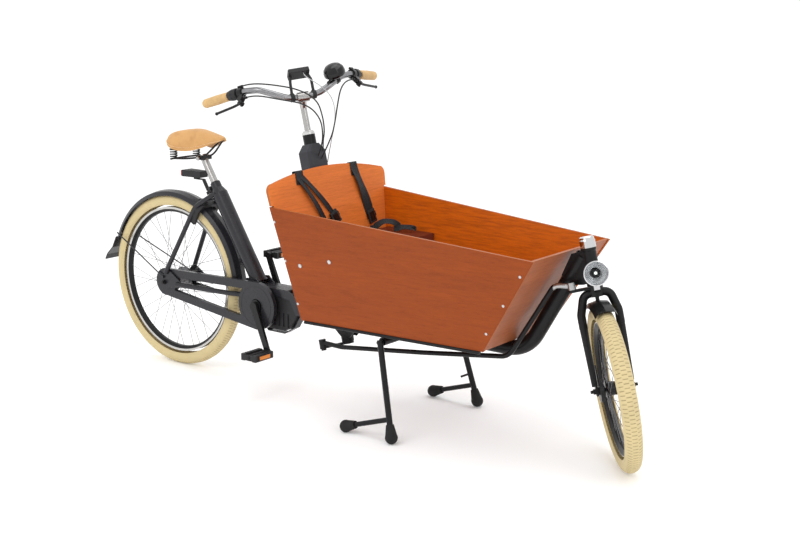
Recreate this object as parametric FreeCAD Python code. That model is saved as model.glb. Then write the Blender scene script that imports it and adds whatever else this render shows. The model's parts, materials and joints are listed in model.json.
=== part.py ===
import FreeCAD, Part
import math
import os

# Two-wheeled cargo bicycle: a wooden load box between a long frame's rear end and a
# small front wheel that is steered through a rod.  Millimetres, +X forward, +Y to the
# rider's left, +Z up.  The origin is on the ground under the rear axle.

V = FreeCAD.Vector
PARTS = "parts"
os.makedirs(PARTS, exist_ok=True)

# ---------------------------------------------------------------- driving dimensions
RUN = 0.05                    # radial clearance of a running fit
GAP = 0.3                     # clearance between faces that do not touch

# wheels
WHEELBASE = 1908.0
REAR_BEAD_R = 282.0           # 55-559 tyre
FRONT_BEAD_R = 206.0          # 55-406 tyre
TYRE_H = 52.0                 # height of a tyre above its bead
BEAD_HALF = 10.2              # half width of a tyre at its bead
REAR_TYRE_R = REAR_BEAD_R + TYRE_H
FRONT_TYRE_R = FRONT_BEAD_R + TYRE_H
RIM_W = 28.0
RIM_DEPTH = 19.0
SPOKE_R = 0.95
SPOKES = 36
AXLE_R = 5.0

# steering
STEER_ANGLE = 76.5            # both steering axes, from the ground
COLUMN_X = 835.0              # where the column's axis crosses COLUMN_Z
COLUMN_Z = 300.0
FORK_RAKE = 14.5
BAR_TURN = -37.0              # how far the handlebar stands turned at rest
WHEEL_TURN = -51.0            # how far the front wheel stands turned at rest
COLUMN_ARM = 90.0
FORK_ARM = 70.0
STEERER_R = 14.0
HEAD_TUBE_R = 22.0
COLUMN_LOW = -75.0            # ends of the column's head tube along its axis
COLUMN_HIGH = 655.0
HEAD_LOW = 315.0              # ends of the front head tube along the fork's axis
HEAD_HIGH = 430.0
ROD_R = 8.0

# frame
MAIN_R = 25.0
MAIN_WALL = 2.5
MAIN_Z = 318.0
SEAT_R = 29.0
SEAT_TOP = (229.0, 708.0)
SEAT_FOOT = (430.0, 385.0)
SEATPOST_R = 13.6
BRACKET_IN = 31.2             # inner face of the motor bracket's cheeks
CHEEK = 5.8
DROPOUT_IN = 65.0
DROPOUT_T = 6.0

# drive
CRANK_X = 473.0
CRANK_Z = 308.0
CRANK_LENGTH = 172.0
CRANK_ANGLE = -63.0           # right crank, from straight forward
RING_TEETH = 36
SPROCKET_TEETH = 18
PITCH = 12.7
CHAIN_Y = -55.5
CASE_HALF = 8.3
CASE_WALL = 1.3
SPINDLE_R = 10.0

# load box
BOX_T = 10.0
BOX_FLOOR_Z = 348.0
BOX_REAR_TOP = (772.0, 732.0)
BOX_REAR_FOOT = (847.0, 348.0)
BOX_FRONT_TOP = (1744.0, 659.0)
BOX_FRONT_FOOT = (1548.0, 348.0)
BOX_HALF_REAR_TOP = 302.0
BOX_HALF_REAR_FOOT = 237.0
BOX_HALF_FRONT_FOOT = 193.0
BACK_RISE = 74.0              # how far the back panel's shoulders stand above the sides
BACK_ARCH = 34.0
BACK_CORNER_R = 26.0
BENCH_Z = 594.0
BENCH_X = (820.0, 1038.0)
BENCH_T = 14.0
BENCH_APRON = 34.0

# stand
STAND_X = 1161.0
STAND_Z = 318.0
STAND_AXLE_R = 8.0
STAND_HALF = 244.0
STAND_FRONT_X = 1234.0
STAND_REAR_X = 1044.0
FOOT_R = 21.0

REAR_AXLE = V(0, 0, REAR_TYRE_R)
CRANK_AXLE = V(CRANK_X, 0, CRANK_Z)


# ---------------------------------------------------------------- shape helpers
def unit(v):
    return V(v).normalize()


def rod(a, b, r):
    d = b - a
    return Part.makeCylinder(r, d.Length, a, d)


def hexagonal(a, b, r):
    """A thin straight wire of six flats between two points."""
    along = b - a
    side = unit(along.cross(V(0, 1, 0)))
    up = unit(along.cross(side))
    ring = []
    for k in range(6):
        angle = math.radians(60 * k)
        ring.append(a + side * (r * math.cos(angle)) + up * (r * math.sin(angle)))
    return prism(ring, along)


def sleeve(a, b, r_out, r_in):
    return rod(a, b, r_out).cut(rod(a, b, r_in))


def cone(a, b, r_a, r_b):
    d = b - a
    return Part.makeCone(r_a, r_b, d.Length, a, d)


def brick(x0, x1, y0, y1, z0, z1):
    return Part.makeBox(x1 - x0, y1 - y0, z1 - z0, V(x0, y0, z0))


def prism(points, extrude):
    face = Part.Face(Part.makePolygon(points + [points[0]]))
    return face.extrude(extrude)


def profile_prism(xz, y0, y1):
    """A flat outline in the XZ plane, given from y0 to y1."""
    return prism([V(x, y0, z) for x, z in xz], V(0, y1 - y0, 0))


def turned(profile, base=V(0, 0, 0), axis=V(0, 0, 1)):
    """Closed outline of (radius, height) points turned about an axis."""
    points = [V(r, 0, h) for r, h in profile]
    face = Part.Face(Part.makePolygon(points + [points[0]]))
    solid = face.revolve(V(0, 0, 0), V(0, 0, 1), 360)
    solid.Placement = FreeCAD.Placement(base, FreeCAD.Rotation(V(0, 0, 1), axis))
    return solid


def route(points, bend):
    """Straight runs joined by tangent arcs; bend is one radius or one per corner."""
    edges = []
    start = points[0]
    for i in range(1, len(points) - 1):
        a = unit(points[i - 1] - points[i])
        b = unit(points[i + 1] - points[i])
        half = a.getAngle(b) / 2
        radius = bend[i - 1] if isinstance(bend, list) else bend
        reach = radius / math.tan(half)
        p = points[i] + a * reach
        q = points[i] + b * reach
        middle = points[i] + unit(a + b) * (radius / math.sin(half) - radius)
        edges.append(Part.LineSegment(start, p).toShape())
        edges.append(Part.Arc(p, middle, q).toShape())
        start = q
    edges.append(Part.LineSegment(start, points[-1]).toShape())
    return Part.Wire(edges)


def pipe(points, r, bend):
    path = route(points, bend)
    ring = Part.Wire(Part.Circle(points[0], unit(points[1] - points[0]), r).toShape())
    return path.makePipeShell([ring], True, False)


def ribbon(xz, thick, y0, y1):
    """A flat strip that follows a polyline in the XZ plane, thick to its left."""
    outer = []
    count = len(xz)
    for i in range(count):
        before = V(xz[i][0] - xz[i - 1][0], 0, xz[i][1] - xz[i - 1][1]) if i else None
        after = V(xz[i + 1][0] - xz[i][0], 0, xz[i + 1][1] - xz[i][1]) if i < count - 1 else None
        a = unit(before if before else after)
        b = unit(after if after else before)
        n = unit(V(-a.z - b.z, 0, a.x + b.x))
        stretch = thick / max(0.3, V(-a.z, 0, a.x).dot(n))
        outer.append((xz[i][0] + n.x * stretch, xz[i][1] + n.z * stretch))
    return profile_prism(list(xz) + outer[::-1], y0, y1)


def mirrored(shape):
    return shape.mirror(V(0, 0, 0), V(0, 1, 0))


def fuse(*shapes):
    whole = shapes[0]
    for shape in shapes[1:]:
        whole = whole.fuse(shape)
    return whole.removeSplitter()


def placed(shape, place):
    moved = shape.copy()
    moved.Placement = place * shape.Placement
    return moved


def steering_frame(origin, turn):
    """X forward and Y left across a steering axis, Z up along it."""
    lean = FreeCAD.Placement(origin, FreeCAD.Rotation(V(0, 1, 0), STEER_ANGLE - 90))
    return lean * FreeCAD.Placement(V(0, 0, 0), FreeCAD.Rotation(V(0, 0, 1), turn))


LEAN = math.radians(STEER_ANGLE)
COLUMN_BASE = V(COLUMN_X, 0, COLUMN_Z)
FORK_BASE = V(WHEELBASE - FORK_RAKE * math.sin(LEAN), 0,
              FRONT_TYRE_R - FORK_RAKE * math.cos(LEAN))
COLUMN = steering_frame(COLUMN_BASE, 0)
COLUMN_TURNED = steering_frame(COLUMN_BASE, BAR_TURN)
FORK = steering_frame(FORK_BASE, 0)
FORK_TURNED = steering_frame(FORK_BASE, WHEEL_TURN)

NODES = {}


def node(name, *solids):
    """Keep one sub-part, made of one or more separate solids."""
    pieces = []
    for solid in solids:
        pieces.extend(solid.Solids)
    NODES[name] = pieces[0] if len(pieces) == 1 else Part.makeCompound(pieces)


# ---------------------------------------------------------------- wheels
def wheel(prefix, tyre_r, bead_r, hub, flange_y, flange_r, place):
    """Tyre, rim and crossed spokes about local Y, with the given hub solid."""
    low = V(bead_r, 0, -BEAD_HALF)
    high = V(bead_r, 0, BEAD_HALF)
    arc = Part.Arc(low, V(tyre_r, 0, 0), high).toShape()
    shut = Part.LineSegment(high, low).toShape()
    about_y = FreeCAD.Placement(V(0, 0, 0), FreeCAD.Rotation(V(1, 0, 0), -90))
    tyre = Part.Face(Part.Wire([arc, shut])).revolve(V(0, 0, 0), V(0, 0, 1), 360)
    node(prefix + "_tyre", placed(tyre, place * about_y))

    top = bead_r - 0.2
    foot = top - RIM_DEPTH
    half = RIM_W / 2
    rim = turned([(top, -half), (top, -half + 2.5), (top - 5, -half + 5),
                  (top - 5, half - 5), (top, half - 2.5), (top, half),
                  (top - 6, half), (foot, 6), (foot, -6), (top - 6, -half)])
    node(prefix + "_rim", placed(rim, place * about_y))

    spokes = []
    side_step = 360.0 / (SPOKES / 2)
    cross = 3 * side_step
    for side in (-1, 1):
        for k in range(SPOKES // 2):
            lead = 1 if k % 2 else -1
            hole = math.radians(k * side_step + side * side_step / 4)
            end = hole + math.radians(lead * cross)
            y_hub = side * flange_y + lead * 3.0
            inner = V(flange_r * math.cos(hole), y_hub, flange_r * math.sin(hole))
            outer = V((foot - GAP) * math.cos(end), side * 3.5, (foot - GAP) * math.sin(end))
            spokes.append(placed(hexagonal(inner, outer, SPOKE_R), place))
    node(prefix + "_spokes", *spokes)
    node(prefix + "_hub", placed(hub, place))


def along_y(profile):
    """A turned outline of (radius, y) points about the local Y axis."""
    return turned([(r, y) for r, y in profile], V(0, 0, 0), V(0, 1, 0))


HUB_BORE = AXLE_R + RUN
rear_hub = along_y([(HUB_BORE, -47), (15, -47), (19, -36), (34, -31), (40.5, -29.2), (43, -28.1),
                    (43, -27.3), (40.5, -26.2), (35, -24), (33, 0), (35, 24), (40.5, 26.2),
                    (43, 27.3), (43, 28.1), (40.5, 29.2), (34, 33), (HUB_BORE, 33)])
rear_place = FreeCAD.Placement(REAR_AXLE, FreeCAD.Rotation())
wheel("rear", REAR_TYRE_R, REAR_BEAD_R, rear_hub, 27.7, 41.0, rear_place)

front_hub = along_y([(HUB_BORE, -26), (26, -26), (28.5, -24.2), (31, -23.1), (31, -22.3),
                     (28.5, -21.2), (23, -19), (20, 0), (23, 19), (28.5, 21.2), (31, 22.3),
                     (31, 23.1), (28.5, 24.2), (23, 38), (10, 44), (10, 49.7), (HUB_BORE, 49.7)])
front_place = FORK_TURNED * FreeCAD.Placement(V(FORK_RAKE, 0, 0), FreeCAD.Rotation())
wheel("front", FRONT_TYRE_R, FRONT_BEAD_R, front_hub, 22.7, 29.0, front_place)


# ---------------------------------------------------------------- load box panels
def cross_plane(p, q):
    """A plane across the box through two (x, z) points: a point and a unit normal."""
    along = unit(V(q[0] - p[0], 0, q[1] - p[1]))
    return V(p[0], 0, p[1]), V(along.z, 0, -along.x)


def shifted(plane, distance):
    return plane[0] + plane[1] * distance, plane[1]


def meet(a, b, c):
    """The point where three planes meet."""
    (p1, n1), (p2, n2), (p3, n3) = a, b, c
    scale = n1.dot(n2.cross(n3))
    total = n2.cross(n3) * p1.dot(n1) + n3.cross(n1) * p2.dot(n2) + n1.cross(n2) * p3.dot(n3)
    return total * (1 / scale)


def slab(pair_a, pair_b, pair_c):
    """The solid between three pairs of planes."""
    corner = {}
    for i in (0, 1):
        for j in (0, 1):
            for k in (0, 1):
                corner[i, j, k] = meet(pair_a[i], pair_b[j], pair_c[k])
    quads = []
    for i in (0, 1):
        quads.append([corner[i, 0, 0], corner[i, 1, 0], corner[i, 1, 1], corner[i, 0, 1]])
        quads.append([corner[0, i, 0], corner[1, i, 0], corner[1, i, 1], corner[0, i, 1]])
        quads.append([corner[0, 0, i], corner[1, 0, i], corner[1, 1, i], corner[0, 1, i]])
    faces = [Part.Face(Part.makePolygon(q + [q[0]])) for q in quads]
    solid = Part.Solid(Part.Shell(faces))
    if solid.Volume < 0:
        solid.reverse()
    return solid


REAR_PLANE = cross_plane(BOX_REAR_FOOT, BOX_REAR_TOP)        # normal points forward
FRONT_PLANE = cross_plane(BOX_FRONT_FOOT, BOX_FRONT_TOP)     # normal points forward
TOP_PLANE = cross_plane(BOX_FRONT_TOP, BOX_REAR_TOP)         # normal points up
FOOT_PLANE = (V(0, 0, BOX_FLOOR_Z), V(0, 0, 1))

rear_top = V(BOX_REAR_TOP[0], -BOX_HALF_REAR_TOP, BOX_REAR_TOP[1])
rear_foot = V(BOX_REAR_FOOT[0], -BOX_HALF_REAR_FOOT, BOX_REAR_FOOT[1])
front_foot = V(BOX_FRONT_FOOT[0], -BOX_HALF_FRONT_FOOT, BOX_FRONT_FOOT[1])
side_normal = unit((front_foot - rear_foot).cross(rear_top - rear_foot))
if side_normal.y > 0:
    side_normal = side_normal * -1
SIDE_OUT = (rear_foot, side_normal)                          # right side, normal outward
SIDE_IN = shifted(SIDE_OUT, -BOX_T)


def left_of(plane):
    return V(plane[0].x, -plane[0].y, plane[0].z), V(plane[1].x, -plane[1].y, plane[1].z)


side_panel = slab((SIDE_IN, SIDE_OUT), (REAR_PLANE, FRONT_PLANE), (FOOT_PLANE, TOP_PLANE))
node("side_panel_right", side_panel)
node("side_panel_left", mirrored(side_panel))

FRONT_SET = 3.0               # how far the front panel stands back from the side edges
front_out = shifted(FRONT_PLANE, -FRONT_SET)
front_in = shifted(FRONT_PLANE, -FRONT_SET - BOX_T)
floor_top = shifted(FOOT_PLANE, 2 + BOX_T)
floor_foot = shifted(FOOT_PLANE, 2)
back_out = shifted(REAR_PLANE, 2.0)
back_in = shifted(REAR_PLANE, 2.0 + BOX_T)
inside = (SIDE_IN, left_of(SIDE_IN))
node("floor_panel", slab(inside, (back_in, front_in), (floor_foot, floor_top)))
node("front_panel", slab(inside, (front_in, front_out), (FOOT_PLANE, TOP_PLANE)))


def side_y(x, z, inner=True):
    """Half width of the box at a place, to the inner or the outer face of a side."""
    point, normal = SIDE_IN if inner else SIDE_OUT
    drop = normal.x * (x - point.x) + normal.z * (z - point.z)
    return -(point.y - drop / normal.y)


def back_panel():
    """Sits between the sides; its shoulders and arched top stand above them."""
    up = V(BOX_REAR_TOP[0] - BOX_REAR_FOOT[0], 0, BOX_REAR_TOP[1] - BOX_REAR_FOOT[1])
    height = up.Length
    up = unit(up)
    foot, normal = back_in
    foot = meet(back_in, (V(0, 0, 0), V(0, 1, 0)), FOOT_PLANE)

    def at(y, s):
        return foot + up * s + V(0, y, 0)

    low = side_y(foot.x, foot.z) - GAP
    high_point = foot + up * height
    high = side_y(high_point.x, high_point.z) - GAP
    wide = side_y(high_point.x, high_point.z, False)
    flare = (high - low) / height
    shoulder_s = height + BACK_RISE
    shoulder_y = wide + flare * BACK_RISE * 0.4
    corner = BACK_CORNER_R
    step = height + 3.5
    arch_y = shoulder_y - corner
    left = []
    for sign in (1, -1):
        left.append([at(sign * low, 0), at(sign * high, step - 0.5), at(sign * wide, step + 0.5),
                     at(sign * shoulder_y, shoulder_s - corner)])
    rise = BACK_ARCH
    a, b = left
    middle_a = at(shoulder_y - corner * 0.27, shoulder_s - corner * 0.22)
    middle_b = at(-shoulder_y + corner * 0.27, shoulder_s - corner * 0.22)
    arch_a = at(arch_y, shoulder_s + 2)
    arch_b = at(-arch_y, shoulder_s + 2)
    edges = []
    for p, q in zip(a[:-1], a[1:]):
        edges.append(Part.LineSegment(p, q).toShape())
    edges.append(Part.Arc(a[-1], middle_a, arch_a).toShape())
    edges.append(Part.Arc(arch_a, at(0, shoulder_s + rise), arch_b).toShape())
    edges.append(Part.Arc(arch_b, middle_b, b[-1]).toShape())
    down = b[::-1]
    for p, q in zip(down[:-1], down[1:]):
        edges.append(Part.LineSegment(p, q).toShape())
    edges.append(Part.LineSegment(b[0], a[0]).toShape())
    face = Part.Face(Part.Wire(edges))
    return face.extrude(normal * -BOX_T), at, up, normal, shoulder_s


back_solid, back_at, back_up, back_normal, back_shoulder = back_panel()
node("back_panel", back_solid)


# ---------------------------------------------------------------- frame tubes
column_low = COLUMN.multVec(V(0, 0, COLUMN_LOW))
column_high = COLUMN.multVec(V(0, 0, COLUMN_HIGH))
column_axis = unit(column_high - column_low)
column_body = rod(column_low, column_high, HEAD_TUBE_R)
BUSH = 30.0
column_length = COLUMN_HIGH - COLUMN_LOW
column_shell = turned([(STEERER_R + RUN, 0), (HEAD_TUBE_R, 0), (HEAD_TUBE_R, column_length),
                       (STEERER_R + RUN, column_length), (STEERER_R + RUN, column_length - BUSH),
                       (HEAD_TUBE_R - 2.5, column_length - BUSH - 4), (HEAD_TUBE_R - 2.5, BUSH + 4),
                       (STEERER_R + RUN, BUSH)], column_low, column_axis)

fork_low = FORK.multVec(V(0, 0, HEAD_LOW))
fork_high = FORK.multVec(V(0, 0, HEAD_HIGH))
fork_axis = unit(fork_high - fork_low)
head_body = rod(fork_low, fork_high, HEAD_TUBE_R)
head_length = HEAD_HIGH - HEAD_LOW
head_shell = turned([(STEERER_R + RUN, 0), (HEAD_TUBE_R + 2, 0), (HEAD_TUBE_R + 2, 12),
                     (HEAD_TUBE_R, 14), (HEAD_TUBE_R, head_length - 10),
                     (HEAD_TUBE_R + 1.5, head_length - 8), (HEAD_TUBE_R + 1.5, head_length),
                     (STEERER_R + RUN, head_length)], fork_low, fork_axis)

# main tube: level under the floor, then up along the front panel to the head tube
RISE_ANGLE = 59.7
MAIN_BEND_R = 120.0
MAIN_REAR_X = 668.0
BEND_X = 1586.0
MAIN_TOP_Z = 648.0
rise = math.radians(RISE_ANGLE)
main_points = [V(MAIN_REAR_X, 0, MAIN_Z), V(BEND_X, 0, MAIN_Z),
               V(BEND_X + (MAIN_TOP_Z - MAIN_Z) / math.tan(rise), 0, MAIN_TOP_Z)]
main_outer = pipe(main_points, MAIN_R, MAIN_BEND_R)
main_inner = pipe(main_points, MAIN_R - MAIN_WALL, MAIN_BEND_R)
stand_sleeve_r = STAND_AXLE_R + 6
STAND_SLEEVE_HALF = 198.0
sleeve_a = V(STAND_X, -STAND_SLEEVE_HALF, STAND_Z)
sleeve_b = V(STAND_X, STAND_SLEEVE_HALF, STAND_Z)
stand_bore = rod(sleeve_a, sleeve_b, STAND_AXLE_R + RUN)
stand_tube = rod(sleeve_a, sleeve_b, stand_sleeve_r)
CARRIER_W = 30.0
CARRIER_X = (930.0, 1410.0)
carriers = []
for x in CARRIER_X:
    half = side_y(x, BOX_FLOOR_Z) - 25
    carriers.append(brick(x - CARRIER_W / 2, x + CARRIER_W / 2, -half, half,
                          MAIN_Z + MAIN_R - 4, BOX_FLOOR_Z + 2))
main_tube = main_outer.cut(main_inner)
main_tube = fuse(main_tube, stand_tube, carriers[0].cut(main_inner), carriers[1].cut(main_inner))
main_tube = main_tube.cut(stand_bore).cut(column_body).cut(head_body)
main_solids = sorted(main_tube.Solids, key=lambda s: -s.Volume)
node("main_tube", *[s for s in main_solids if s.Volume > 500])

# gusset plates between the column's foot and the main tube
GUSSET_T = 4.0
gusset_outline = [(700, 303), (965, 303), (905, 280), (876, 246), (836, 246), (800, 276)]
column_gussets = []
for y in (HEAD_TUBE_R - GUSSET_T - 1, -HEAD_TUBE_R + 1):
    plate = profile_prism(gusset_outline, y, y + GUSSET_T)
    column_gussets.append(plate.cut(main_outer))
column_tube = fuse(column_shell, *[g.cut(column_body) for g in column_gussets])
column_tube = column_tube.cut(rod(column_low, column_high, STEERER_R + RUN))
node("column_head_tube", *column_tube.Solids)

# front gusset: two cheeks from the main tube's top to the head tube
FRONT_CHEEK_Y = 17.0
cheek_outline = [(1716, 582), (1748, 652), (1797, 667), (1822, 574), (1795, 562), (1745, 554)]
front_cheeks = []
for y in (-FRONT_CHEEK_Y - GUSSET_T, FRONT_CHEEK_Y):
    cheek = profile_prism(cheek_outline, y, y + GUSSET_T)
    front_cheeks.append(cheek.cut(main_outer).cut(head_body))
head_tube = fuse(head_shell, *front_cheeks)
head_tube = head_tube.cut(rod(fork_low, fork_high, STEERER_R + RUN))
node("front_head_tube", *[s for s in head_tube.Solids if s.Volume > 300])

# seat tube with its clamp collar
seat_foot = V(SEAT_FOOT[0], 0, SEAT_FOOT[1])
seat_top = V(SEAT_TOP[0], 0, SEAT_TOP[1])
seat_axis = unit(seat_top - seat_foot)
seat_length = (seat_top - seat_foot).Length
seat_bore = SEATPOST_R + RUN
seat_tube = turned([(0, 0), (SEAT_R, 0), (SEAT_R, seat_length - 22), (SEAT_R - 9, seat_length),
                    (seat_bore, seat_length), (seat_bore, seat_length - 70),
                    (SEAT_R - 3, seat_length - 90), (SEAT_R - 3, 6), (0, 6)],
                   seat_foot, seat_axis)
COLLAR_H = 26.0
collar = turned([(seat_bore, 0), (SEAT_R - 10, 0), (SEAT_R - 10, COLLAR_H - 3),
                 (SEAT_R - 13, COLLAR_H), (seat_bore, COLLAR_H)], seat_top, seat_axis)
collar_back = V(-seat_axis.z, 0, seat_axis.x)
ear_mid = seat_top + seat_axis * (COLLAR_H / 2) + collar_back * 24
EAR_END = 12.0
SKEWER_R = 3.0
CAM_R = 6.5
ear = rod(ear_mid - V(0, EAR_END, 0), ear_mid + V(0, EAR_END, 0), 8.0)
ear_slot = rod(ear_mid - V(0, 1.5, 0), ear_mid + V(0, 1.5, 0), 9.0)
collar = fuse(collar, ear).cut(rod(seat_top, seat_top + seat_axis * COLLAR_H, seat_bore)).cut(ear_slot)

# clamp: a skewer through the ears, with a cam lever that swings out on the cross pin at its end
cam_centre = ear_mid + V(0, EAR_END + CAM_R + GAP, 0)
skewer = rod(ear_mid - V(0, EAR_END + 6, 0), cam_centre, SKEWER_R)
skewer_nut = rod(ear_mid - V(0, EAR_END + 6, 0), ear_mid - V(0, EAR_END, 0), 6.0)
cam_pin = rod(cam_centre - seat_axis * 9, cam_centre + seat_axis * 9, 2.0)
skewer_end = rod(cam_centre - seat_axis * 2.9, cam_centre + seat_axis * 2.9, 4.0)
node("seat_tube", seat_tube, fuse(collar, skewer, skewer_nut, cam_pin, skewer_end))

cam = rod(cam_centre - seat_axis * 8, cam_centre + seat_axis * 8, CAM_R)
arm_outline = []
for back, out in ((0, -5), (30, -4.5), (50, -8), (52, -5), (32, 1.5), (0, 5)):
    arm_outline.append(cam_centre + collar_back * back + V(0, out, 0) - seat_axis * 6)
cam_lever = fuse(cam, prism(arm_outline, seat_axis * 12))
cam_lever = cam_lever.cut(rod(cam_centre - seat_axis * 3.3, cam_centre + seat_axis * 3.3, 9.0))
cam_lever = cam_lever.cut(rod(cam_centre - seat_axis * 10, cam_centre + seat_axis * 10, 2.0 + RUN))
node("seat_clamp_lever", cam_lever)

# motor bracket: two cheeks, a front wall and a skid strip under the drive unit
bracket_outline = [(372, 316), (372, 346), (400, 398), (446, 402), (474, 378), (600, 378),
                   (668, 343), (700, 343), (700, 293), (640, 293), (612, 344), (560, 350),
                   (470, 350), (440, 316)]
cheeks = []
for y in (-BRACKET_IN - CHEEK, BRACKET_IN):
    cheeks.append(profile_prism(bracket_outline, y, y + CHEEK))
front_wall = brick(648, MAIN_REAR_X, -BRACKET_IN, BRACKET_IN, 293, 343)
bridge = brick(440, 600, -BRACKET_IN, BRACKET_IN, 370, 378)
seat_foot_wall = rod(seat_foot - seat_axis * 8, seat_foot, BRACKET_IN + 0.6)
SKID_T = 4.0
skid = ribbon([(650, 296), (614, 236), (566, 209), (484, 209), (462, 236)], -SKID_T, -15, 15)
motor_bracket = fuse(cheeks[0], cheeks[1], front_wall, bridge, seat_foot_wall)
motor_bracket = motor_bracket.cut(main_outer)
node("motor_bracket", motor_bracket, skid.cut(front_wall))

# drive unit: rounded housing, a boss round the crank spindle and cooling ribs
unit_outline = [(440, 290), (440, 350), (456, 366), (628, 366), (638, 358), (638, 290),
                (604, 238), (582, 226), (480, 226), (456, 242)]
UNIT_HALF = BRACKET_IN - GAP
unit_body = profile_prism(unit_outline, -UNIT_HALF, UNIT_HALF)
for k in range(5):
    x = 508 + 22 * k
    unit_body = unit_body.cut(brick(x, x + 10, -UNIT_HALF - 1, -UNIT_HALF + 4, 240, 290))
    unit_body = unit_body.cut(brick(x, x + 10, UNIT_HALF - 4, UNIT_HALF + 1, 240, 290))
boss = rod(CRANK_AXLE - V(0, 44, 0), CRANK_AXLE + V(0, 44, 0), 21.0)
unit_body = fuse(unit_body, boss)
unit_body = unit_body.cut(rod(CRANK_AXLE - V(0, 50, 0), CRANK_AXLE + V(0, 50, 0), SPINDLE_R + RUN))
node("drive_unit", unit_body.cut(skid))

# rear triangle: chainstays, seatstays and dropouts
STAY_R = 9.5
SEATSTAY_R = 9.0
seat_outer = rod(seat_foot, seat_top, SEAT_R)
axle_z = REAR_TYRE_R


def stay_side(sign):
    chainstay = pipe([V(372, 34 * sign, 331), V(345, 38 * sign, 331), V(320, 45 * sign, 331),
                      V(70, 74.5 * sign, axle_z)], STAY_R, 40)
    seatstay = pipe([V(240, 22 * sign, 694), V(156, 47 * sign, 638),
                     V(12, 74.8 * sign, axle_z + 38)], SEATSTAY_R, 70)
    plate_y = DROPOUT_IN if sign > 0 else -DROPOUT_IN - DROPOUT_T
    dropout = profile_prism([(-18, axle_z - 14), (-14, axle_z + 16), (8, axle_z + 44), (34, axle_z + 44),
                             (84, axle_z + 12), (84, axle_z - 12), (10, axle_z - 22)],
                            plate_y, plate_y + DROPOUT_T)
    side = fuse(chainstay.cut(motor_bracket), seatstay.cut(seat_outer), dropout)
    bore = rod(V(0, -90, axle_z), V(0, 90, axle_z), AXLE_R + RUN)
    return side.cut(bore)


stay_bridge = rod(V(196, -40, 662), V(196, 40, 662), 6.0)
right_side = stay_side(-1)
left_side = stay_side(1)
stay_bridge = max(stay_bridge.cut(right_side).cut(left_side).Solids, key=lambda p: p.Volume)
node("rear_triangle", right_side, left_side, stay_bridge)

# rear axle with its nuts, and the brake drum with its reaction arm
axle = rod(V(0, -84, axle_z), V(0, 84, axle_z), AXLE_R)
nuts = []
for y in (-DROPOUT_IN - DROPOUT_T - 8, DROPOUT_IN + DROPOUT_T):
    outline = []
    for k in range(6):
        angle = math.radians(60 * k)
        outline.append(V(9 * math.cos(angle), y, axle_z + 9 * math.sin(angle)))
    nuts.append(prism(outline, V(0, 8, 0)))
rear_axle = fuse(axle, *nuts)
drum = turned([(HUB_BORE, 0), (38, 0), (38, 12), (30, 18), (30, 24), (HUB_BORE, 24)],
              V(0, 33 + GAP, axle_z), V(0, 1, 0))
arm = profile_prism([(10, axle_z - 27), (24, axle_z - 14), (140, axle_z - 26), (140, axle_z - 38)],
                    50, 54)
node("rear_axle_and_brake", rear_axle, fuse(drum, arm.cut(drum)))


# ---------------------------------------------------------------- transmission
RING_R = PITCH / (2 * math.sin(math.pi / RING_TEETH))
SPROCKET_R = PITCH / (2 * math.sin(math.pi / SPROCKET_TEETH))


def toothed(teeth, pitch_r, centre, thick, phase):
    """A chain wheel with straight-flanked teeth between round seats."""
    tip = pitch_r + 3.4
    root = pitch_r - 4.0
    points = []
    for k in range(teeth):
        for part, r in ((-0.32, root), (-0.12, tip), (0.12, tip), (0.32, root)):
            angle = math.radians(phase) + 2 * math.pi * (k + part) / teeth
            points.append(centre + V(r * math.cos(angle), -thick / 2, r * math.sin(angle)))
    return prism(points, V(0, thick, 0))


ring_centre = CRANK_AXLE + V(0, CHAIN_Y, 0)
sprocket_centre = REAR_AXLE + V(0, CHAIN_Y, 0)
TOOTH_T = 2.0
chainring = toothed(RING_TEETH, RING_R, ring_centre, TOOTH_T, 0)
for k in range(5):
    angle = math.radians(72 * k + 36)
    spot = ring_centre + V(48 * math.cos(angle), -5, 48 * math.sin(angle))
    chainring = chainring.cut(rod(spot, spot + V(0, 10, 0), 17.0))
sprocket = toothed(SPROCKET_TEETH, SPROCKET_R, sprocket_centre, TOOTH_T, 0)
sprocket_boss = rod(REAR_AXLE + V(0, -61, 0), REAR_AXLE + V(0, -47.6, 0), 15.0)
sprocket = fuse(sprocket, sprocket_boss)
sprocket = sprocket.cut(rod(REAR_AXLE - V(0, 80, 0), REAR_AXLE, HUB_BORE))
node("rear_sprocket", sprocket)


def belt_wire(inset, y):
    """Closed loop of two tangents and two arcs round both chain wheels."""
    a = ring_centre
    b = sprocket_centre
    r_a = RING_R + inset
    r_b = SPROCKET_R + inset
    span = b - a
    distance = span.Length
    base = math.atan2(span.z, span.x)
    spread = math.acos((r_a - r_b) / distance)

    def on(centre, r, angle):
        return V(centre.x + r * math.cos(angle), y, centre.z + r * math.sin(angle))

    up = base - spread
    down = base + spread
    edges = [Part.LineSegment(on(a, r_a, up), on(b, r_b, up)).toShape(),
             Part.Arc(on(b, r_b, up), on(b, r_b, base), on(b, r_b, down)).toShape(),
             Part.LineSegment(on(b, r_b, down), on(a, r_a, down)).toShape(),
             Part.Arc(on(a, r_a, down), on(a, r_a, base + math.pi), on(a, r_a, up)).toShape()]
    return Part.Wire(edges)


def loop_band(inner, outer, y0, y1):
    """The closed band between two offsets of the chain's line."""
    big = Part.Face(belt_wire(outer, y0)).extrude(V(0, y1 - y0, 0))
    small = Part.Face(belt_wire(inner, y0)).extrude(V(0, y1 - y0, 0))
    return big.cut(small)


CHAIN_HALF_W = 3.8
CHAIN_HALF_H = 4.2
chain = loop_band(-CHAIN_HALF_H, CHAIN_HALF_H, CHAIN_Y - CHAIN_HALF_W, CHAIN_Y + CHAIN_HALF_W)
groove = loop_band(-CHAIN_HALF_H - 1, 3.4 + GAP, CHAIN_Y - TOOTH_T / 2 - GAP,
                   CHAIN_Y + TOOTH_T / 2 + GAP)
node("chain", chain.cut(groove))

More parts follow.
